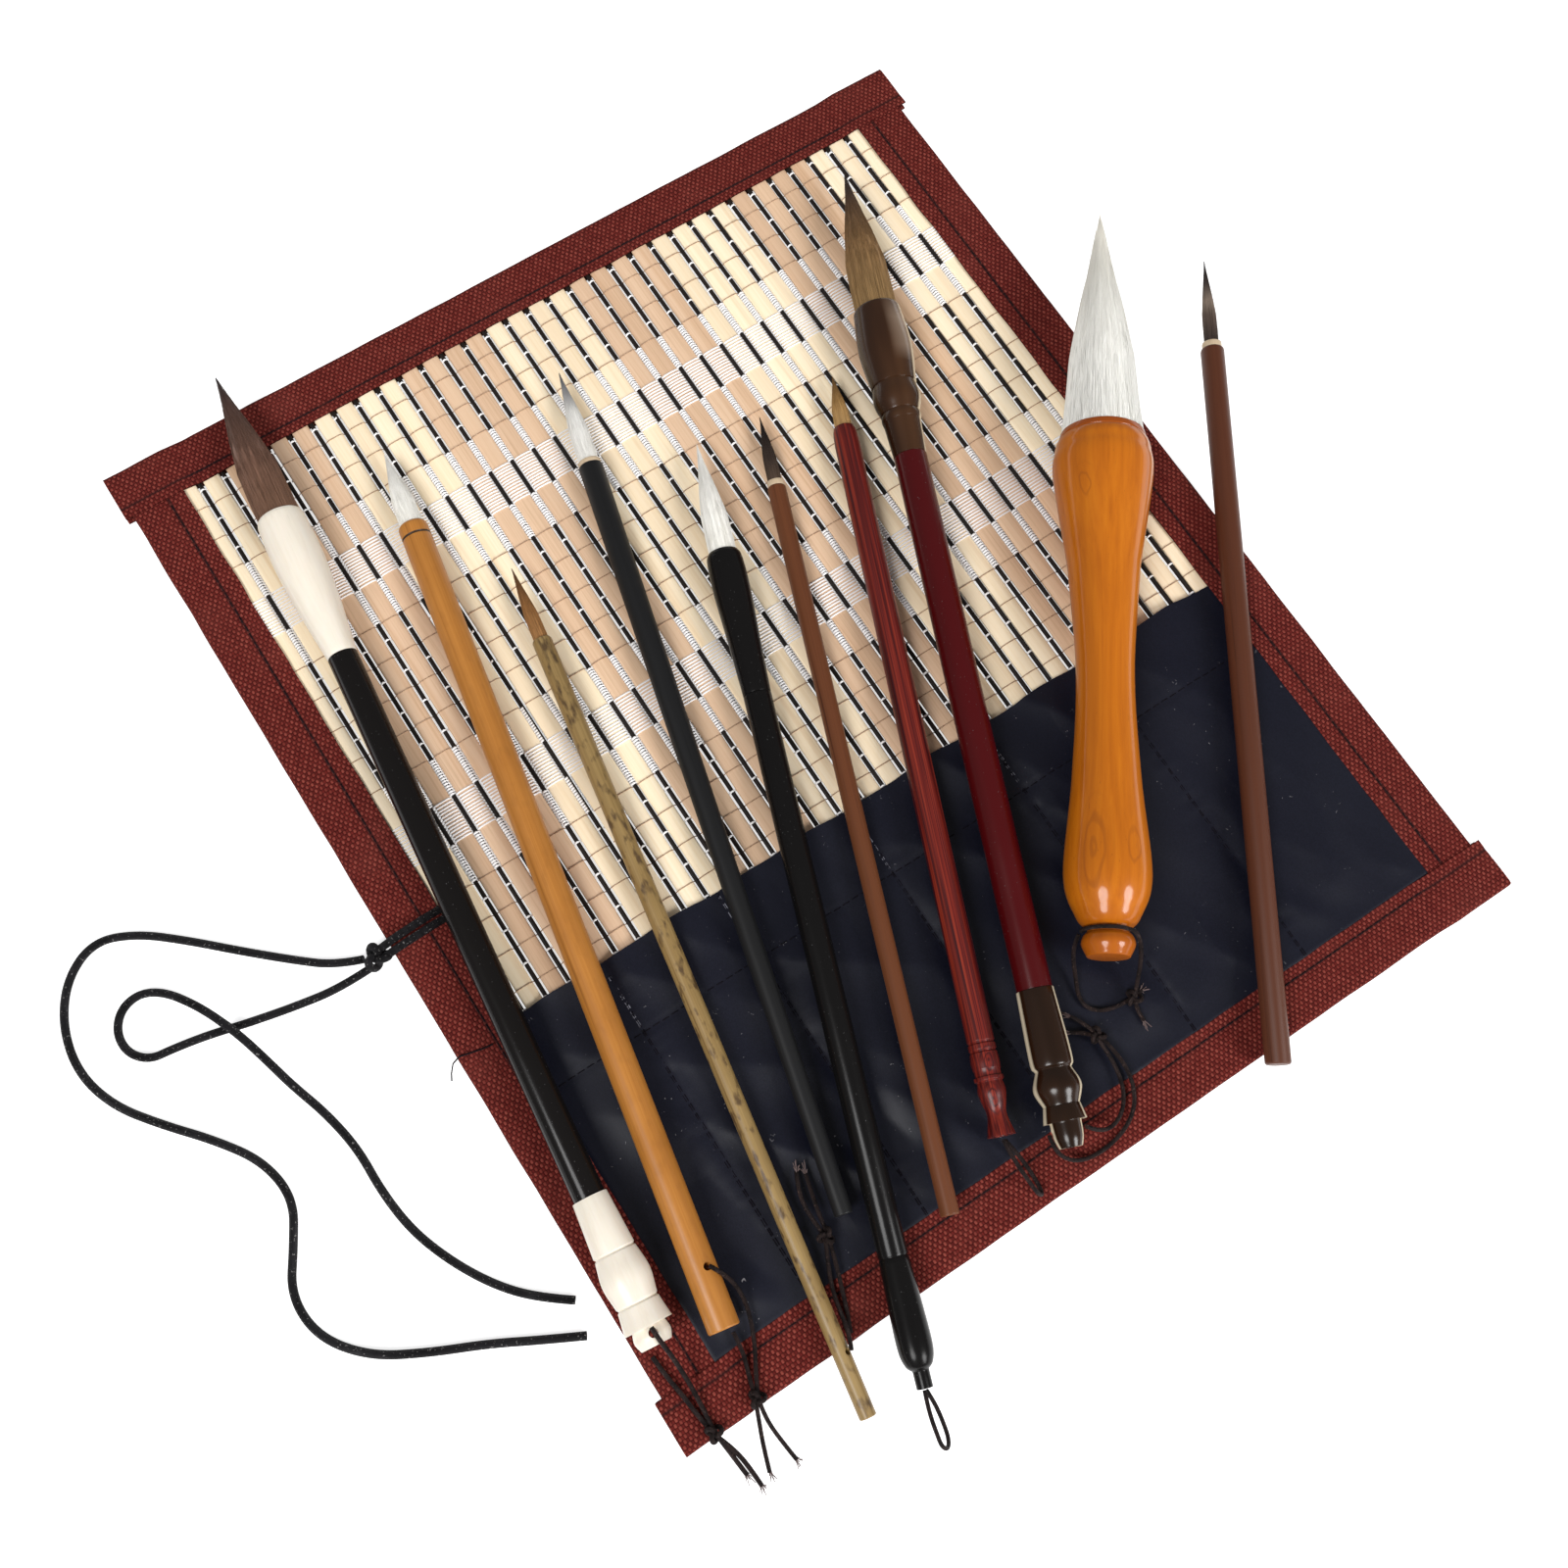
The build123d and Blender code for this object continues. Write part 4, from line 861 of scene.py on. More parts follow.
def knot(name, centre, radius, diameter, along, material):
    """An overhand knot pulled tight: the cord's own turns round each other, drawn out along the cord."""
    along = Vector(along).normalized()
    side = along.cross(Vector((0, 0, 1))).normalized()
    rise = side.cross(along)
    points = []
    for step in range(37):
        angle = 2 * math.pi * step / 36
        reach = radius * (math.sin(angle) + 1.5 * math.sin(2 * angle)) / 2.5
        width = radius * (math.cos(angle) - 1.5 * math.cos(2 * angle)) / 2.5
        depth = -0.55 * radius * math.sin(3 * angle)
        points.append(Vector(centre) + along * reach + side * width + rise * depth)
    return braid(name, points, diameter, material)[0]


tie_knot = knot("tie_knot", tie_knot_at, 3.3, 2.3 * mm, (1, 0.05, 0), tie_braid)
tie_pieces = [belongs(tie_knot, "mat_strip_1", "tie_cord_braid", "tie_cord_knot")]
for number, route in enumerate(tie_strands, start=1):
    strand, _ = braid(f"tie_strand_{number}", route, tie_diameter, tie_braid)
    tie_pieces.append(belongs(strand, "mat_strip_1", "tie_cord_braid"))
for name, route, length, pieces in (
    ("long_tail", tie_long_route, 0.2945, tie_pieces),
    ("short_tail", tie_short_route, 0.2426, []),
):
    tail, path = braid(f"tie_{name}", route, tie_diameter, tie_braid)
    belongs(tail, "mat_strip_1", "tie_cord_braid", f"tie_cord_{name}")

# ---- Brush 1 -------------------------------------------------------------------------------------
# Long brown hair in a flared ivory coloured ferrule, a round black lacquered handle and an ivory
# coloured cap turned as a sleeve, a bead and a knob. The hair is glued in, the ends are plugged.


def stretch_points(stretch):
    """A stretch of a turned outline; three points or more are a smooth curve through them."""
    ends = [Vector((size / 2, 0, station)) for station, size in stretch]
    if len(stretch) < 3:
        return ends
    ends = [2 * ends[0] - ends[1], *ends, 2 * ends[-1] - ends[-2]]
    points = []
    for before, start, stop, after in zip(ends, ends[1:], ends[2:], ends[3:]):
        for step in range(8):
            share = step / 8
            near = (stop - before) * (share - 2 * share**2 + share**3) / 2
            far = (after - start) * (share**3 - share**2) / 2
            straight = start * (1 - 3 * share**2 + 2 * share**3) + stop * (3 * share**2 - 2 * share**3)
            points.append(straight + near + far)
    return [*points, ends[-2]]


turned_sides = 56
sharpest_smooth = math.radians(28)


def lathe(*stretches, rounding=0.22):
    """A turned piece in millimetres about Z. Each stretch lists (distance, diameter)."""
    mesh = bmesh.new()
    outline = []
    for stretch in stretches:
        for point in stretch_points(stretch):
            if not outline or (point - outline[-1]).length > 0.01:
                outline.append(point)
    outline = [Vector((0, 0, outline[0].z)), *outline, Vector((0, 0, outline[-1].z))]
    verts = [mesh.verts.new(point) for point in outline]
    edges = [mesh.edges.new(pair) for pair in zip(verts, verts[1:])]
    spin = {"axis": (0, 0, 1), "cent": (0, 0, 0), "angle": 2 * math.pi, "steps": turned_sides, "use_merge": True}
    bmesh.ops.spin(mesh, geom=verts + edges, **spin)
    bmesh.ops.remove_doubles(mesh, verts=mesh.verts, dist=0.002)
    bmesh.ops.recalc_face_normals(mesh, faces=mesh.faces)
    corners = [edge for edge in mesh.edges if edge.is_manifold and edge.calc_face_angle() > sharpest_smooth]
    if rounding:
        rounded = {"offset_type": "OFFSET", "affect": "EDGES", "segments": 3, "profile": 0.5, "material": -1}
        bmesh.ops.bevel(mesh, geom=corners, offset=rounding, clamp_overlap=True, **rounded)
    return mesh


def lying(at, heading, height, tilt):
    """Where a brush lies: Z runs from its hair to its end, heading is its swing from -Y."""
    turn, rise = math.radians(heading), math.radians(tilt)
    across = Vector((math.cos(turn), math.sin(turn), 0))
    along = Vector((math.sin(turn) * math.cos(rise), -math.cos(turn) * math.cos(rise), math.sin(rise)))
    turned = Matrix((across, along.cross(across), along)).transposed().to_4x4()
    return Matrix.Translation(Vector((*at, height)) * mm) @ turned


def store_local(data, back=Matrix()):
    """Keep a mesh's points as they are on its own brush, in metres, for its materials."""
    layer = data.attributes.new("local", "FLOAT_VECTOR", "POINT")
    layer.data.foreach_set("vector", [value for vert in data.vertices for value in back @ vert.co])


def lay(piece, place):
    """Turn a piece from millimetres to metres and lay it down with its brush."""
    piece.data.transform(Matrix.Scale(mm, 4))
    store_local(piece.data)
    piece.data.transform(place)
    return piece


def turned_piece(brush, word, solid, slot, material, place, *stretches):
    """A turned piece of a brush, in place of one of its solids."""
    piece = lay(new_piece(f"brush_{brush}_{word}", lathe(*stretches), material), place)
    return belongs(piece, f"brush_{brush}", slot, f"brush_{brush}_{solid}")


bit_length = 20.0


def drill(piece, place, station, lean, diameter):
    """Bore a round hole across a piece at `station`, leaning `lean` degrees from straight up."""
    mesh = bmesh.new()
    turn = Matrix.Translation((0, 0, station)) @ Matrix.Rotation(math.radians(-lean), 4, "Z")
    turn = turn @ Matrix.Rotation(math.radians(90), 4, "X")
    size = {"radius1": diameter / 2, "radius2": diameter / 2, "depth": bit_length}
    bmesh.ops.create_cone(mesh, segments=24, cap_ends=True, matrix=turn, **size)
    bit = new_piece("bit", mesh, piece.data.materials[0])
    bit.data.transform(place @ Matrix.Scale(mm, 4))
    cut = piece.modifiers.new("hole", "BOOLEAN")
    cut.object = bit
    cut.operation = "DIFFERENCE"
    cut.solver = "EXACT"
    bpy.context.view_layer.update()
    data = bpy.data.meshes.new_from_object(piece.evaluated_get(bpy.context.evaluated_depsgraph_get()))
    piece.modifiers.clear()
    data.name = piece.data.name
    piece.data = data
    bpy.data.objects.remove(bit)
    data.set_sharp_from_angle(angle=math.radians(30))
    if "local" in data.attributes:
        data.attributes.remove(data.attributes["local"])
    store_local(data, place.inverted())


def on_brush(shader):
    return stored(shader, "local")["Vector"]


def hair_material(name, streak, *stops):
    """Hair, coloured from its root to its tip by stops of (share, colour), streaked along itself."""
    material, shader = new_material(name, Roughness=0.5, Specular_IOR_Level=0.25)
    fine = grain(on_brush(shader), 3400.0, 24.0, 0.8)["Fine"]
    shifted = maths("ADD", stored(shader, "reach")["Fac"], maths("MULTIPLY", maths("SUBTRACT", fine, 0.5), 0.16))
    dark = ramp(fine, (0.25, 1.0 - streak), (0.6, 1.0))
    feed(shader, mix(1.0, ramp(shifted, *stops), dark, "MULTIPLY"))
    bump(shader, fine, 0.04 * mm, 0.2)
    return material


def tuft(brush, slot, material, place, length, diameter, count, sunk=0, belly=1.06, loose=1.0):
    """A pointed tuft: a soft core with many single hairs laid over it, some of them a little astray."""
    chance = random.Random(brush)
    place = place @ Matrix.Translation((0, 0, sunk * mm))
    shape = [(0, diameter), (0.12, (0.45 + 0.53 * belly) * diameter), (0.35, belly * 0.92 * diameter)]
    shape += [(0.56, 0.64 * belly * diameter), (0.75, 0.34 * belly * diameter), (0.9, 0.13 * diameter), (1.0, 0.16)]

    def size_at(share):
        for (near, near_size), (far, far_size) in zip(shape, shape[1:]):
            if share <= far:
                return near_size + (far_size - near_size) * (share - near) / (far - near)
        return shape[-1][1]

    def finish(piece):
        mark(piece, "reach", [min(1, max(0, -vert.co.z / length)) for vert in piece.data.vertices])
        belongs(lay(piece, place), f"brush_{brush}", slot, f"brush_{brush}_tuft")

    outline = [(-share * length, size * 0.985) for share, size in reversed(shape)]
    mesh = lathe(outline, ((0, diameter * 0.985), (2, diameter * 0.9)), rounding=0)
    for vert in mesh.verts:
        share = max(0, -vert.co.z / length)
        if share > 0:
            lumps = 1 + 0.05 * noise.noise(Vector((vert.co.x * 0.9, vert.co.y * 0.9, vert.co.z * 0.05 + brush)))
            vert.co = vert.co.x * lumps, vert.co.y * lumps, -share * length
    finish(new_piece(f"brush_{brush}_hair", mesh, material, 80))

    steps = 9
    lines = []
    for _ in range(count):
        angle = chance.uniform(0, 2 * math.pi)
        start = chance.uniform(-0.02, 0.3) if chance.random() < 0.6 else -0.02
        stop = min(1.03, chance.triangular(max(start + 0.3, 0.45), 1.03, 0.97))
        lift = chance.uniform(0.0, 0.09) * loose
        twist = chance.uniform(-0.16, 0.16)
        points = []
        radii = []
        for step in range(steps + 1):
            share = start + (stop - start) * step / steps
            away = 0.12 * lift * length * max(0, step / steps - 0.55) if lift > 0.07 * loose else 0
            radius = size_at(max(0, share)) / 2 * (1 + 0.25 * lift) + 0.02 + away
            turn = angle + twist * step / steps
            points.append((radius * math.cos(turn), radius * math.sin(turn), -share * length))
            radii.append((0.018 + 0.045 * (1 - step / steps)) * (diameter / 10) ** 0.25)
        lines.append((points, radii))
    finish(tubes(f"brush_{brush}_hair_hairs", lines, material))


def lacquer(name, colour, rough, scuff, gloss):
    """Smooth lacquer, its gloss a little worn in places, with a few specks of dust."""
    material, shader = new_material(name, Specular_IOR_Level=gloss)
    place = on_brush(shader)
    specks = ramp(cloud(place, 2600.0, 0.0), (0.83, 0.0), (0.86, 0.3))
    feed(shader, mix(specks, colour, (0.25, 0.25, 0.25)))
    feed(shader, ramp(cloud(place, 45.0), (0.35, rough), (0.7, rough + scuff)), "Roughness")
    return material


black_lacquer = lacquer("black_lacquer", (0.0065, 0.0055, 0.0052), 0.18, 0.05, 0.18)

ivory, shader = new_material(
    "ivory_coloured", Roughness=0.3, Specular_IOR_Level=0.35, Subsurface_Weight=0.1,
    Subsurface_Radius=(0.003, 0.002, 0.001), Subsurface_Scale=1.0,
)
place = on_brush(shader)
fine, broad = grain(place, 500.0, 30.0, 1.5)
colour = ramp(fine, (0.3, (0.77, 0.69, 0.575)), (0.5, (0.82, 0.75, 0.64)), (0.8, (0.85, 0.79, 0.69)))
scratches = ramp(grain(place, 3600.0, 45.0, 0.2)["Fine"], (0.30, 1.0), (0.42, 0.0))
near_mouth = ramp(maths("MULTIPLY", split(place)["Z"], 30.0), (0.12, 0.5), (0.9, 0.0))
feed(shader, mix(maths("MULTIPLY", scratches, near_mouth), colour, (0.62, 0.55, 0.46)))
bump(shader, broad, 0.05 * mm, 0.2)

loop_braid = braid_material(
    "brown_braid", (0.021, 0.013, 0.013), (0.055, 0.033, 0.030), (0.13, 0.08, 0.07), 0.64, 6, 1.5 * mm
)
yarns = 11
loop_knot_radius = 2.2
frayed_yarn, _ = new_material(
    "frayed_yarn", Base_Color=(0.16, 0.115, 0.11, 1), Roughness=0.8, Specular_IOR_Level=0.1
)


def frayed(name, route, diameter, chance):
    """The loose yarns at the cut end of a braid."""
    last, way = Vector(route[-1]) * mm, (Vector(route[-1]) - Vector(route[-2])).normalized()
    lines = []
    for _ in range(yarns):
        astray = Vector([chance.uniform(-1, 1) for _ in range(3)])
        start = last - way * 0.5 * mm + astray * diameter * 0.28
        middle = last + way * 0.5 * mm + astray * diameter * 0.5
        end = middle + (way + astray * 0.7) * chance.uniform(0.5, 1.3) * mm
        for point in (start, middle, end):
            point.z = max(point.z, 0.15 * mm)
        lines.append(([start, middle, end], 0.11 * mm))
    return tubes(name, lines, frayed_yarn)


def hanging_loop(brush, lengths, routes, knot_at=None, diameter=1.2 * mm):
    """A brush's hanging loop: its two ends, tied together where it has a knot."""
    owner = f"brush_{brush}", "loop_braid", f"brush_{brush}_loop"
    chance = random.Random(brush)
    tied = []
    if knot_at:
        heart = Vector(knot_at)
        first = [Vector(point) for point in routes[0]]
        nearest = min(range(1, len(first) - 1), key=lambda index: (first[index] - heart).length)
        along = first[nearest + 1] - first[nearest - 1]
        tie = knot(f"brush_{brush}_knot", knot_at, loop_knot_radius, diameter * 1.05, along, loop_braid)
        tied = [belongs(tie, *owner)]
    for number, (route, length) in enumerate(zip(routes, lengths), start=1):
        strand, path = braid(f"brush_{brush}_cord_{number}", route, diameter, loop_braid)
        belongs(strand, *owner)
        if knot_at:
            tied.append(belongs(frayed(f"brush_{brush}_fray_{number}", route, diameter, chance), *owner))
        tied = []


place_1 = lying((-102.9, 290.5), -6.62, 10.42, -0.059)
brown_hair = hair_material(
    "brown_hair", 0.5, (0.0, (0.25, 0.135, 0.085)), (0.35, (0.205, 0.108, 0.073)), (0.75, (0.155, 0.086, 0.066)),
    (0.92, (0.09, 0.058, 0.052)), (1.0, (0.035, 0.026, 0.027)),
)
tuft(1, "brown_hair", brown_hair, place_1, 51.5, 12.2, 620, sunk=4)
turned_piece(
    1, "flare", "ferrule", "ivory_plastic", ivory, place_1, ((4.4, 12.4), (3.8, 13.1)),
    ((3.8, 13.5), (5.6, 14.3), (12.0, 14.9), (20.6, 14.9), (33.2, 13.1), (52, 8.9)),
)
turned_piece(1, "stem", "handle", "black_lacquer", black_lacquer, place_1, ((52.02, 8.9), (222.5, 8.9)))
cap = turned_piece(
    1, "end", "cap", "ivory_plastic", ivory, place_1, ((222.5, 9.9), (237.7, 11.78)),
    ((237.74, 11.78), (238.24, 10.88)), ((238.24, 10.88), (238.74, 11.78)),
    ((238.74, 11.78), (245.4, 13.7), (252.0, 11.78)), ((252.0, 11.78), (252.5, 10.88)),
    ((252.5, 10.88), (253.0, 11.78)), ((253.0, 11.78), (255.5, 12.47), (259.1, 13.7)),
    ((259.1, 9.36), (261.7, 10.4), (264.3, 8.74)),
)
drill(cap, place_1, 261.1, 8, 2.6)
to_knot = (
    (-132.0, 32.5, 16.6), (-131.9, 28.4, 16.3), (-131.4, 22.8, 12.2), (-131.4, 16.0, 7.0), (-131.8, 8.8, 4.6),
    (-132.5, 1.6, 5.3), (-131.8, -5.4, 2.8), (-131.2, -12.4, 0.9),
)
from_knot = (
    (-136.2, 26.0, 3.8), (-135.8, 20.2, 3.9), (-134.7, 13.8, 4.0), (-134.0, 7.4, 4.3), (-132.9, 1.2, 5.3),
    (-130.7, -4.8, 3.2), (-129.6, -10.8, 1.3), (-129.4, -16.8, 0.8),
)
hanging_loop(1, (0.0489, 0.0441), (to_knot, from_knot), (-132.7, 1.2, 5.4), 1.3 * mm)

# ---- Brush 2 -------------------------------------------------------------------------------------
# Thick golden bamboo, cut clean from one length of cane, with an inked line near the hair and a
# hole for the cord near the end. Short white hair is glued into the hollow of the cane.


def cane_material(name, pale, mid, dark, rough, across, spots, ring=0.0):
    """Bamboo cane: long fibres, mellow patches, dark spots, and an inked line in a groove at `ring`."""
    material, shader = new_material(
        name, Roughness=rough, Specular_IOR_Level=0.35, Coat_Weight=0.15, Coat_Roughness=0.3
    )
    place = on_brush(shader)
    fine = grain(place, across, 9.0, 1.2)["Fine"]
    patch = ramp(cloud(place, 42.0, 4.0), (0.42, 0.0), (0.75, 0.75))
    colour = mix(patch, ramp(fine, (0.3, mid), (0.62, pale)), mid)
    colour = mix(ramp(fine, (0.24, 0.7), (0.36, 0.0)), colour, dark)
    freckles = ramp(cloud(mapped(place, Scale=(1.0, 1.0, 0.4)), 480.0, 3.0), (0.53, 0.0), (0.66, 1.0))
    colour = mix(maths("MULTIPLY", freckles, spots), colour, dark)
    if ring:
        away = maths("MULTIPLY", maths("ABSOLUTE", maths("SUBTRACT", split(place)["Z"], ring)), 1000.0)
        colour = mix(ramp(away, (0.30, 0.95), (0.42, 0.0)), colour, (0.012, 0.009, 0.008))
    feed(shader, colour)
    bump(shader, fine, 0.05 * mm, 0.4)
    return material


golden = (0.48, 0.195, 0.037), (0.37, 0.138, 0.022), (0.17, 0.060, 0.012)
golden_cane = cane_material("golden_cane", *golden, 0.36, 900.0, 0.12, 0.0062)
white_hair = hair_material(
    "white_hair", 0.10, (0.0, (0.95, 0.93, 0.87)), (0.6, (0.94, 0.92, 0.87)), (1.0, (0.87, 0.85, 0.81))
)
place_2 = lying((-70.9, 267.3), -10.53, 7.40, 0.716)
tuft(2, "white_hair", white_hair, place_2, 25.5, 6.8, 360, sunk=2)
stem = turned_piece(
    2, "stem", "handle", "golden_bamboo", golden_cane, place_2, ((3.2, 6.9), (2.1, 6.9), (1.8, 7.9)),
    ((2.4, 8.7), (3.4, 8.9), (5.95, 8.9)), ((5.95, 8.9), (6.05, 8.6)), ((6.4, 8.6), (6.5, 8.9)),
    ((6.5, 8.9), (249.6, 8.9)), ((250, 8.3), (250.0, 5.2)), ((250.0, 5.2), (240.0, 4.6)),
)
drill(stem, place_2, 233.6, 25, 2.2)
to_knot = (
    (-111.3, 37.2, 15.2), (-109.3, 34.0, 14.2), (-107.8, 28.4, 9.8), (-108.6, 21.8, 5.8), (-111.4, 14.8, 4.6),
    (-115.2, 8.2, 4.2), (-118.5, 2.3, 5.2), (-119.5, -4.0, 2.9), (-119.1, -10.4, 1.1), (-118.3, -16.4, 0.8),
)
from_knot = (
    (-115.0, 19.6, 5.4), (-115.4, 14.1, 4.8), (-117.4, 8.4, 4.3), (-119.0, 2.6, 5.2), (-121.6, -3.4, 3.0),
    (-124.0, -9.4, 1.2), (-125.9, -15.2, 0.8),
)
hanging_loop(2, (0.0600, 0.0372), (to_knot, from_knot), (-118.8, 2.2, 5.3))

# ---- Brush 3 -------------------------------------------------------------------------------------
# Thin speckled bamboo that tapers to its end, with a cord hole near the end and a fine point of
# orange-brown hair.

speckled = (0.325, 0.215, 0.082), (0.215, 0.132, 0.044), (0.080, 0.045, 0.020)
speckled_cane = cane_material("speckled_cane", *speckled, 0.42, 1500.0, 0.9)
tan_hair = hair_material(
    "tan_hair", 0.5, (0.0, (0.44, 0.22, 0.08)), (0.5, (0.33, 0.15, 0.05)), (1.0, (0.13, 0.06, 0.03))
)
place_3 = lying((-57.5, 213.6), -9.70, 7.75, -0.134)
tuft(3, "tan_hair", tan_hair, place_3, 24.3, 4.2, 240)
stem = turned_piece(
    3, "stem", "handle", "speckled_bamboo", speckled_cane, place_3, ((1.2, 4.3), (0.2, 4.3), (0, 5.3)),
    ((0.6, 5.9), (80, 5.7)), ((80, 5.7), (234.2, 4.8)), ((234.5, 4.3), (234.5, 2.6)), ((234.5, 2.6), (228.0, 2.2)),
)
drill(stem, place_3, 217.3, 45, 1.8)
to_knot = (
    (-91.5, -1.0, 9.9), (-89.5, 2.8, 8.2), (-88.4, 8.6, 5.2), (-86.8, 15.0, 5.0), (-84.0, 21.0, 5.6),
    (-81.1, 26.6, 6.4), (-81.6, 33.4, 5.7), (-81.0, 39.8, 5.4), (-78.2, 45.2, 5.4),
)
from_knot = (
    (-89.0, 2.2, 4.0), (-86.6, 7.6, 4.0), (-84.6, 13.4, 4.9), (-82.4, 19.6, 5.7), (-80.5, 26.1, 6.4),
    (-79.2, 32.6, 5.7), (-77.8, 38.4, 5.4), (-76.4, 43.4, 5.4),
)
hanging_loop(3, (0.0498, 0.0433), (to_knot, from_knot), (-80.9, 26.6, 6.5))

# ---- Brush 4 -------------------------------------------------------------------------------------
# Black stained wood, hardly shiny, that tapers to its end, with a pale horn collar round white
# hair whose point is still grey with ink.


def wood_material(name, pale, mid, dark, rough, across=1500.0, along=14.0):
    """Turned wood: fine grain along the piece, broad bands of a darker growth, open pores."""
    material, shader = new_material(name, Roughness=rough, Specular_IOR_Level=0.2)
    fine, broad = grain(on_brush(shader), across, along, 1.6)
    colour = mix(ramp(broad, (0.35, 0.0), (0.65, 0.7)), ramp(fine, (0.3, mid), (0.65, pale)), mid)
    feed(shader, mix(ramp(fine, (0.27, 1.0), (0.40, 0.0)), colour, dark))
    bump(shader, fine, 0.06 * mm, 0.5)
    return material


black = (0.0125, 0.0125, 0.0135), (0.009, 0.009, 0.0095), (0.004, 0.004, 0.004)
matt_black = wood_material("matt_black_wood", *black, 0.46)
pale_horn = (0.62, 0.50, 0.36), (0.50, 0.38, 0.25), (0.32, 0.22, 0.13)
horn_collar = wood_material("horn_collar", *pale_horn, 0.35, 700.0, 60.0)
inked_hair = hair_material(
    "inked_white_hair", 0.16, (0.0, (0.92, 0.90, 0.85)), (0.55, (0.86, 0.845, 0.81)), (0.78, (0.38, 0.37, 0.38)),
    (1.0, (0.10, 0.10, 0.11)),
)
place_4 = lying((-15.5, 255.9), -14.43, 6.70, 0.485)
tuft(4, "white_hair", inked_hair, place_4, 31.8, 6.0, 300)
turned_piece(4, "ring", "collar", "horn", horn_collar, place_4, ((0, 6.1), (0, 7.0)), ((0, 7.0), (1.38, 7.0)))
turned_piece(
    4, "stem", "handle", "matt_black_wood", matt_black, place_4, ((1.4, 7.0), (2.0, 7.5)), ((2.0, 7.5), (80, 7.0)),
    ((80, 7.0), (234.4, 5.2)), ((234.7, 4.7), (234.7, 0.5)),
)

# ---- Brush 5 -------------------------------------------------------------------------------------
# Gloss black lacquer over three turned pieces: a swelling head, a slim handle, and an end with a
# long bulb and a short neck that is drilled for the cord's loop.

soft_lacquer = lacquer("soft_black_lacquer", (0.0055, 0.005, 0.005), 0.21, 0.05, 0.16)
place_5 = lying((2.9, 209.9), -20.0, 8.95, 0)
tuft(5, "white_hair", white_hair, place_5, 36.2, 8.0, 420, sunk=2)
turned_piece(
    5, "head", "ferrule", "black_lacquer", soft_lacquer, place_5, ((3.0, 8.1), (2.0, 8.5)),
    ((2.0, 9.2), (4.6, 10.8), (14.4, 11.2), (29.7, 9.75), (47.86, 8.3)),
)
turned_piece(
    5, "stem", "handle", "black_lacquer", soft_lacquer, place_5, ((47.94, 8.3), (209.7, 8.3)),
    ((209.7, 8.3), (210.2, 7.8)), ((210.2, 7.8), (210.7, 8.3)),
    ((210.7, 8.3), (220.5, 9.08), (233.1, 9.6), (237.8, 7.7), (239.6, 4.5)), ((239.6, 4.5), (244.2, 4.5)),
    ((244.2, 2.9), (241.9, 2.8)),
)
round_loop = (
    (-81.0, -19.8, 9.4), (-82.4, -23.0, 9.9), (-83.6, -26.8, 9.8), (-84.4, -30.4, 9.4), (-85.0, -33.4, 8.9),
    (-84.4, -35.1, 7.3), (-83.2, -35.1, 5.2), (-82.0, -33.4, 3.8), (-81.3, -30.6, 4.2), (-80.7, -27.2, 5.2),
    (-80.4, -23.7, 6.7), (-80.5, -20.3, 8.3),
)
hanging_loop(5, (0.0353,), (round_loop,))

# ---- Brush 6 -------------------------------------------------------------------------------------
# A thin handle of red-brown wood, nearly of even thickness, with a pale horn collar. Its small dark
# point is glued into the collar, and some of its hairs stray.

redbrown = wood_material("redbrown_wood", (0.165, 0.056, 0.022), (0.12, 0.039, 0.016), (0.06, 0.020, 0.011), 0.4)
dark_hair = hair_material(
    "dark_hair", 0.5, (0.0, (0.13, 0.085, 0.06)), (0.35, (0.06, 0.04, 0.032)), (1.0, (0.012, 0.009, 0.009))
)
place_6 = lying((29.2, 220.7), -20.9, 5.80, 0.946)
tuft(6, "dark_hair", dark_hair, place_6, 22.3, 4.0, 240, loose=2.5)
turned_piece(6, "ring", "collar", "horn", horn_collar, place_6, ((0, 4.1), (0, 5.2)), ((0, 5.2), (1.88, 5.2)))
turned_piece(
    6, "stem", "handle", "redbrown_wood", redbrown, place_6, ((1.9, 5.2), (2.5, 5.7)), ((2.5, 5.7), (222.2, 5.3)),
    ((222.5, 4.9), (222.5, 0.5)),
)

# ---- Brush 7 -------------------------------------------------------------------------------------
# Red hardwood with dark open grain, its end turned as rings, a barrel and a flare, and hollowed
# for the cord's loop. The golden-brown hair is short.


def growth_rings(place, centre, squeeze, spacing, reach):
    """Oval rings of grain round a centre, longer than wide, that fade out at `reach` beside it."""
    squeezed = mapped(place, Scale=(1.0, 1.0, squeeze))
    away = vectors("DISTANCE", squeezed, (centre[0], centre[1], centre[2] * squeeze), "Value")
    wobble = maths("MULTIPLY", cloud(squeezed, 0.35 / spacing), 2.2 * spacing)
    wave = maths("SINE", maths("MULTIPLY", maths("ADD", away, wobble), 2 * math.pi / spacing))
    near = ramp(maths("MULTIPLY", away, 1 / reach), (0.6, 1.0), (1.0, 0.0))
    return maths("MULTIPLY", near, ramp(wave, (0.2, 0.0), (0.95, 0.8)))


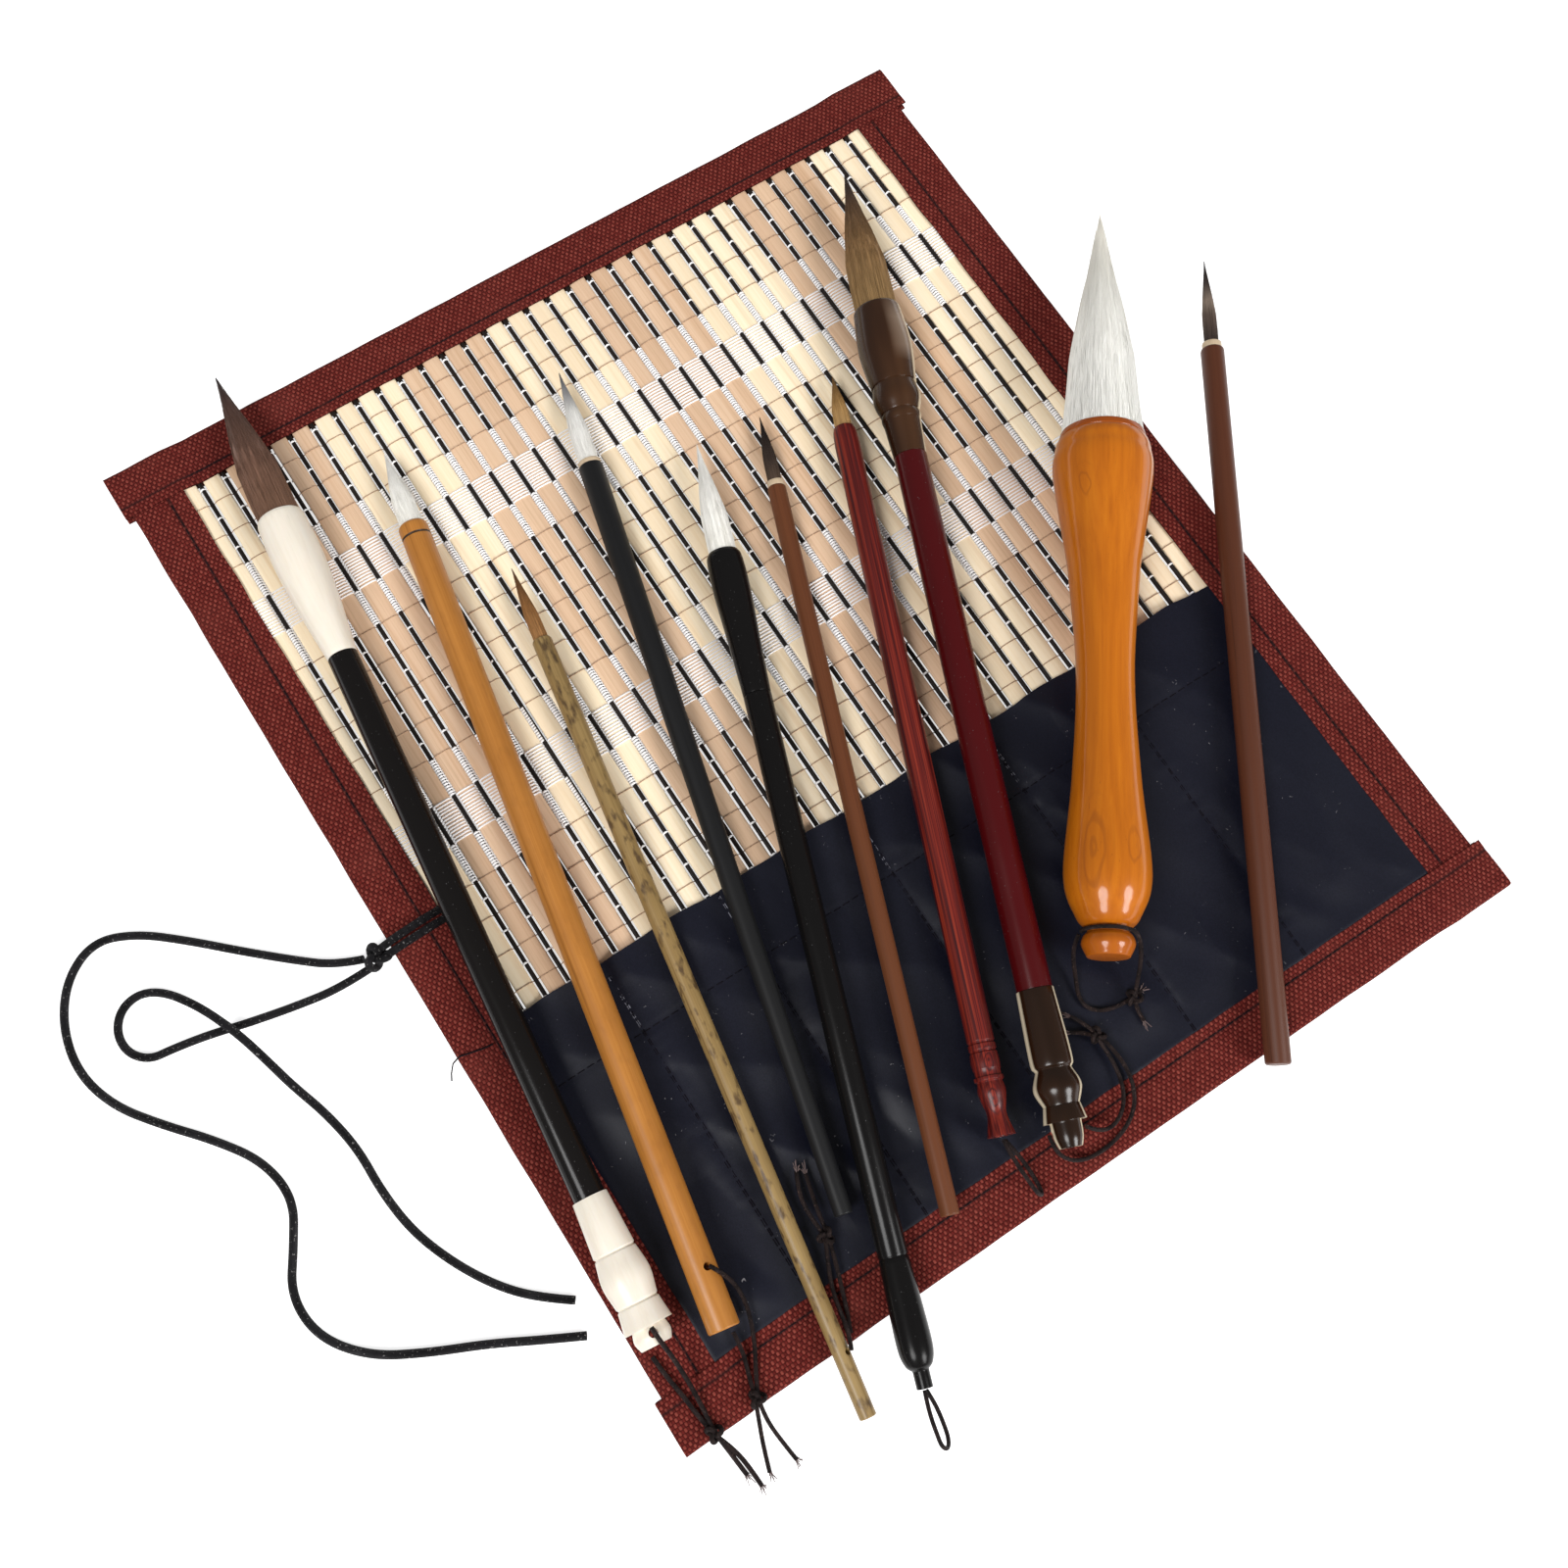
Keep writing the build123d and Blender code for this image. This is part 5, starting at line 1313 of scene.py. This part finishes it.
# Growth layers stand upright in the wood: stripes on the stem, and rings on its turned end.
hardwood, shader = new_material(
    "red_hardwood", Roughness=0.36, Specular_IOR_Level=0.25, Coat_Weight=0.1, Coat_Roughness=0.2
)
place = on_brush(shader)
layered = mapped(place, Rotation=(0, 0, 1.15), Scale=(1900.0, 330.0, 15.0))
layers = cloud(layered, 1.0, 3.0, Roughness=0.55)
colour = ramp(
    layers, (0.34, (0.048, 0.006, 0.009)), (0.43, (0.095, 0.010, 0.009)), (0.52, (0.165, 0.015, 0.010)),
    (0.66, (0.275, 0.032, 0.015)),
)
for centre in ((0.0004, 0.0039, 0.1981), (-0.0006, 0.0034, 0.2085)):
    colour = mix(growth_rings(place, centre, 0.55, 0.0011, 0.0030), colour, (0.035, 0.005, 0.007))
fine, broad = grain(place, 2600.0, 40.0)
colour = mix(ramp(fine, (0.30, 0.7), (0.42, 0.0)), colour, (0.06, 0.008, 0.008))
shade = ramp(broad, (0.35, (0.55, 0.48, 0.55)), (0.6, (0.95, 0.95, 0.95)))
feed(shader, mix(1.0, colour, shade, "MULTIPLY"))
bump(shader, layers, 0.08 * mm, 0.3)

golden_hair = hair_material(
    "golden_hair", 0.45, (0.0, (0.52, 0.32, 0.13)), (0.5, (0.42, 0.235, 0.08)), (1.0, (0.20, 0.105, 0.04))
)
place_7 = lying((56.8, 224.3), -22.48, 6.74, 1.080)
tuft(7, "tan_hair", golden_hair, place_7, 18.0, 5.0, 260)
turned_piece(
    7, "stem", "handle", "red_hardwood", hardwood, place_7, ((1.0, 5.1), (0, 5.6)), ((0, 6.4), (2, 7.33), (6, 7.8)),
    ((6, 7.8), (192, 7.8)), ((192.3, 7.8), (192.8, 6.9)), ((192.8, 6.9), (193.3, 7.8)), ((193.4, 7.8), (194.6, 7.8)),
    ((194.7, 7.8), (195.2, 6.9)), ((195.2, 6.9), (195.7, 7.8)), ((196.1, 7.8), (198.1, 8.1), (200.1, 7.8)),
    ((200.6, 7.3), (202.2, 7.3)), ((202.2, 8.27), (203.2, 8.27)),
    ((203.6, 7.0), (206.2, 7.96), (209.3, 6.7), (212.8, 5.4), (218.4, 7.96)), ((218.4, 4.4), (214.5, 4.2)),
)
round_loop = (
    (-26.9, 21.5, 11.3), (-27.4, 17.8, 11.4), (-27.5, 13.6, 11.0), (-27.3, 9.2, 10.2), (-27.0, 5.4, 9.2),
    (-26.2, 3.7, 7.3), (-25.2, 3.7, 5.1), (-24.5, 5.4, 3.6), (-24.2, 9.2, 3.7), (-24.5, 13.1, 5.0),
    (-25.2, 17.3, 7.0), (-26.2, 20.8, 9.2),
)
hanging_loop(7, (0.0403,), (round_loop,))

# ---- Brush 8 -------------------------------------------------------------------------------------
# A ferrule and cap turned from streaked horn on a deep crimson lacquered handle. The horn is dark
# in the middle, with a painted cream highlight along the edges that turn away from view.

crimson = lacquer("crimson_lacquer", (0.062, 0.0022, 0.0032), 0.2, 0.07, 0.24)
horn, shader = new_material("streaked_horn", Roughness=0.22, Specular_IOR_Level=0.32)
place = on_brush(shader)
fine, broad = grain(place, 420.0, 26.0, 1.8)
colour = ramp(broad, (0.3, (0.012, 0.005, 0.002)), (0.55, (0.030, 0.0115, 0.0045)), (0.75, (0.055, 0.023, 0.009)))
outwards = vectors("NORMALIZE", vectors("MULTIPLY", place, (1.0, 1.0, 0.0)), (0.0, 0.0, 0.0))
side = maths("ADD", split(outwards)["X"], maths("MULTIPLY", maths("SUBTRACT", broad, 0.5), 0.16))
station = split(place)["Z"]
on_cap = ramp(maths("MULTIPLY", station, 4.0), (0.8, 0.0), (0.84, 1.0))
on_flare = ramp(maths("MULTIPLY", station, 20.0), (0.10, 0.35), (0.22, 1.0), (0.42, 0.7), (0.52, 0.0))
smoky = maths("MULTIPLY", ramp(side, (0.05, 0.0), (0.7, 0.85)), on_flare)
colour = mix(smoky, colour, (0.30, 0.215, 0.155))
# Painted highlight: cream along the edges that turn away from view, on both sides of the cap and on the right of every
# horn piece.
rim_on_both_sides = ramp(maths("ABSOLUTE", maths("ADD", side, 0.07)), (0.85, 0.0), (0.91, 1.0))
painted_rim_highlight = maths("MAXIMUM", maths("MULTIPLY", rim_on_both_sides, on_cap), ramp(side, (0.82, 0.0), (0.90, 0.9)))
feed(shader, mix(painted_rim_highlight, colour, (0.72, 0.62, 0.45)))

long_hair = hair_material(
    "golden_brown_hair", 0.62, (0.0, (0.38, 0.235, 0.10)), (0.45, (0.30, 0.17, 0.072)),
    (0.75, (0.17, 0.095, 0.05)), (0.9, (0.07, 0.045, 0.036)), (1.0, (0.03, 0.024, 0.024)),
)
place_8 = lying((87.9, 254.6), -22.32, 11.34, 0.050)
tuft(8, "brown_hair", long_hair, place_8, 49.5, 12.6, 620, sunk=4)
turned_piece(
    8, "flare", "ferrule", "horn", horn, place_8, ((5.0, 12.8), (4.0, 13.2)),
    ((4.0, 13.9), (6.0, 14.9), (18.0, 16.8), (31.0, 14.1)), ((31.0, 13.5), (36.0, 14.7), (40.6, 12.2)),
    ((40.6, 11.8), (42.1, 12.3), (43.6, 11.7)), ((43.6, 11.5), (55.0, 10.1)),
)
turned_piece(8, "stem", "handle", "crimson_lacquer", crimson, place_8, ((55.04, 10.1), (221.08, 10.1)))
cap = turned_piece(
    8, "end", "cap", "horn", horn, place_8, ((221.12, 10.6), (240.1, 12.0), (243.4, 10.4)),
    ((243.4, 10.1), (248.4, 13.5), (253.3, 10.1)), ((253.3, 10.4), (257.7, 12.15)),
    ((257.7, 8.8), (261.9, 8.18), (264.7, 6.5)), ((264.7, 3.0), (262.2, 2.6)),
)
drill(cap, place_8, 260.1, 90, 2.2)
to_knot = (
    (-5.8, 12.0, 11.4), (-3.6, 9.4, 8.8), (0.6, 7.6, 6.2), (5.2, 8.6, 4.8), (8.9, 11.8, 4.8), (11.2, 16.4, 5.2),
    (12.2, 21.4, 5.5), (12.4, 26.2, 5.8), (12.2, 30.4, 6.3), (9.6, 33.4, 5.7), (6.8, 35.2, 5.4),
)
from_knot = (
    (-15.9, 15.4, 11.4), (-16.4, 11.1, 9.0), (-14.0, 6.8, 6.2), (-9.6, 4.4, 4.4), (-4.2, 3.8, 4.0), (1.2, 4.3, 4.0),
    (6.5, 6.0, 4.0), (10.9, 9.2, 4.1), (13.6, 14.0, 4.9), (14.6, 19.6, 5.4), (14.2, 25.2, 5.7), (12.9, 30.6, 6.3),
    (11.6, 35.2, 5.6), (9.6, 38.8, 5.4),
)
hanging_loop(8, (0.0454, 0.0687), (to_knot, from_knot), (12.7, 30.4, 6.4))

# ---- Brush 9 -------------------------------------------------------------------------------------
# The largest brush: a gourd shaped handle turned from one piece of pale wood under thick amber
# lacquer, with a neck and a knob for its cord, and a full tuft of long white hair.

amber, shader = new_material(
    "amber_lacquer", Roughness=0.4, Specular_IOR_Level=0.08, Coat_Weight=0.5, Coat_Roughness=0.12
)
place = on_brush(shader)
fine, broad = grain(place, 420.0, 9.0, 2.4)
colour = ramp(fine, (0.25, (0.39, 0.098, 0.004)), (0.5, (0.48, 0.130, 0.005)), (0.78, (0.55, 0.165, 0.007)))
pores = ramp(grain(place, 2300.0, 330.0, 0.6)["Fine"], (0.28, 0.8), (0.35, 0.0))
colour = mix(pores, colour, (0.22, 0.060, 0.008))
colour = mix(ramp(broad, (0.3, 0.5), (0.5, 0.0)), colour, (0.43, 0.135, 0.012))
for centre, squeeze, spacing, reach in (
    ((-0.0060, 0.0108, 0.1370), 0.34, 0.0024, 0.0062),
    ((0.0053, 0.0105, 0.1370), 0.42, 0.0018, 0.0036),
    ((-0.0085, 0.0124, 0.0270), 0.55, 0.0019, 0.0038),
):
    rings = growth_rings(place, centre, squeeze, spacing, reach)
    colour = mix(maths("MULTIPLY", rings, 0.6), colour, (0.30, 0.075, 0.006))
# Painted shade: darker in the lip groove below the mouth and at the neck before the knob.
station = maths("MULTIPLY", split(place)["Z"], 5.0)
painted_groove_shade = ramp(station, (0.040, 1.0), (0.043, 0.35), (0.055, 0.0), (0.76, 0.0), (0.80, 0.6))
feed(shader, mix(painted_groove_shade, colour, (0.30, 0.062, 0.004)))

full_hair = hair_material(
    "full_white_hair", 0.08, (0.0, (0.955, 0.945, 0.90)), (0.6, (0.955, 0.94, 0.885)), (1.0, (0.94, 0.91, 0.83))
)
place_9 = lying((121.4, 180.9), -35.54, 17.84, -0.257)
tuft(9, "white_hair", full_hair, place_9, 76.0, 24.3, 1500, sunk=6, belly=0.86)
turned_piece(
    9, "stem", "handle", "amber_wood", amber, place_9, ((8.0, 24.4), (6.0, 24.8)), ((6.0, 25.4), (7.9, 26.3)),
    ((8.1, 25.9), (9.0, 27.4), (12.2, 28.9), (20.5, 29.6), (49.0, 21.35)),
    ((49.0, 21.35), (82.2, 16.9), (113.8, 19.67), (142.2, 24.8), (154.05, 18.3), (158.0, 11.8)),
    ((158.0, 11.8), (159.0, 11.8)), ((159.0, 12.6), (160.2, 14.25), (162.3, 15.0), (165.6, 12.0)),
)
to_knot = (
    (23.3, 56.3, 16.1), (23.6, 56.1, 20.9), (26.8, 53.8, 24.4), (31.3, 50.6, 24.6), (34.8, 47.4, 21.9),
    (34.6, 43.6, 17.6), (32.7, 39.6, 12.9), (30.4, 36.4, 8.9), (27.8, 33.1, 6.3), (26.5, 29.6, 5.3), (26.5, 26.4, 5.1),
)
from_knot = (
    (22.9, 56.0, 13.7), (20.3, 54.2, 11.9), (18.3, 50.7, 9.5), (16.7, 46.4, 6.9), (14.9, 42.5, 5.5),
    (14.8, 38.5, 5.1), (17.6, 35.4, 5.1), (22.0, 33.8, 5.3), (27.1, 33.4, 6.1), (31.0, 33.8, 5.2),
)
hanging_loop(9, (0.0500, 0.0397), (to_knot, from_knot), (27.6, 33.3, 6.4))

# ---- Brush 10 ------------------------------------------------------------------------------------
# Chocolate brown stained wood of even thickness, its ends softly rounded, with a pale collar and
# a fine dark point with paler hairs at its middle.

chocolate = wood_material("chocolate_wood", (0.102, 0.033, 0.016), (0.082, 0.025, 0.012), (0.045, 0.015, 0.008), 0.44)
banded_hair = hair_material(
    "banded_hair", 0.5, (0.0, (0.05, 0.035, 0.03)), (0.3, (0.13, 0.09, 0.07)), (0.5, (0.30, 0.23, 0.18)),
    (0.72, (0.07, 0.05, 0.045)), (1.0, (0.02, 0.015, 0.015)),
)
place_10 = lying((171.2, 186.7), -32.5, 8.45, 0)
tuft(10, "dark_hair", banded_hair, place_10, 29.7, 4.3, 260)
turned_piece(10, "ring", "collar", "horn", horn_collar, place_10, ((0, 4.4), (0, 6.1)), ((0, 6.1), (1.98, 6.1)))
turned_piece(
    10, "stem", "handle", "brown_wood", chocolate, place_10, ((2.0, 6.1), (2.3, 6.9), (2.9, 7.3)),
    ((2.9, 7.3), (225.2, 7.3)), ((225.6, 6.9), (225.8, 6.2)), ((225.8, 6.2), (225.8, 0.5)),
)
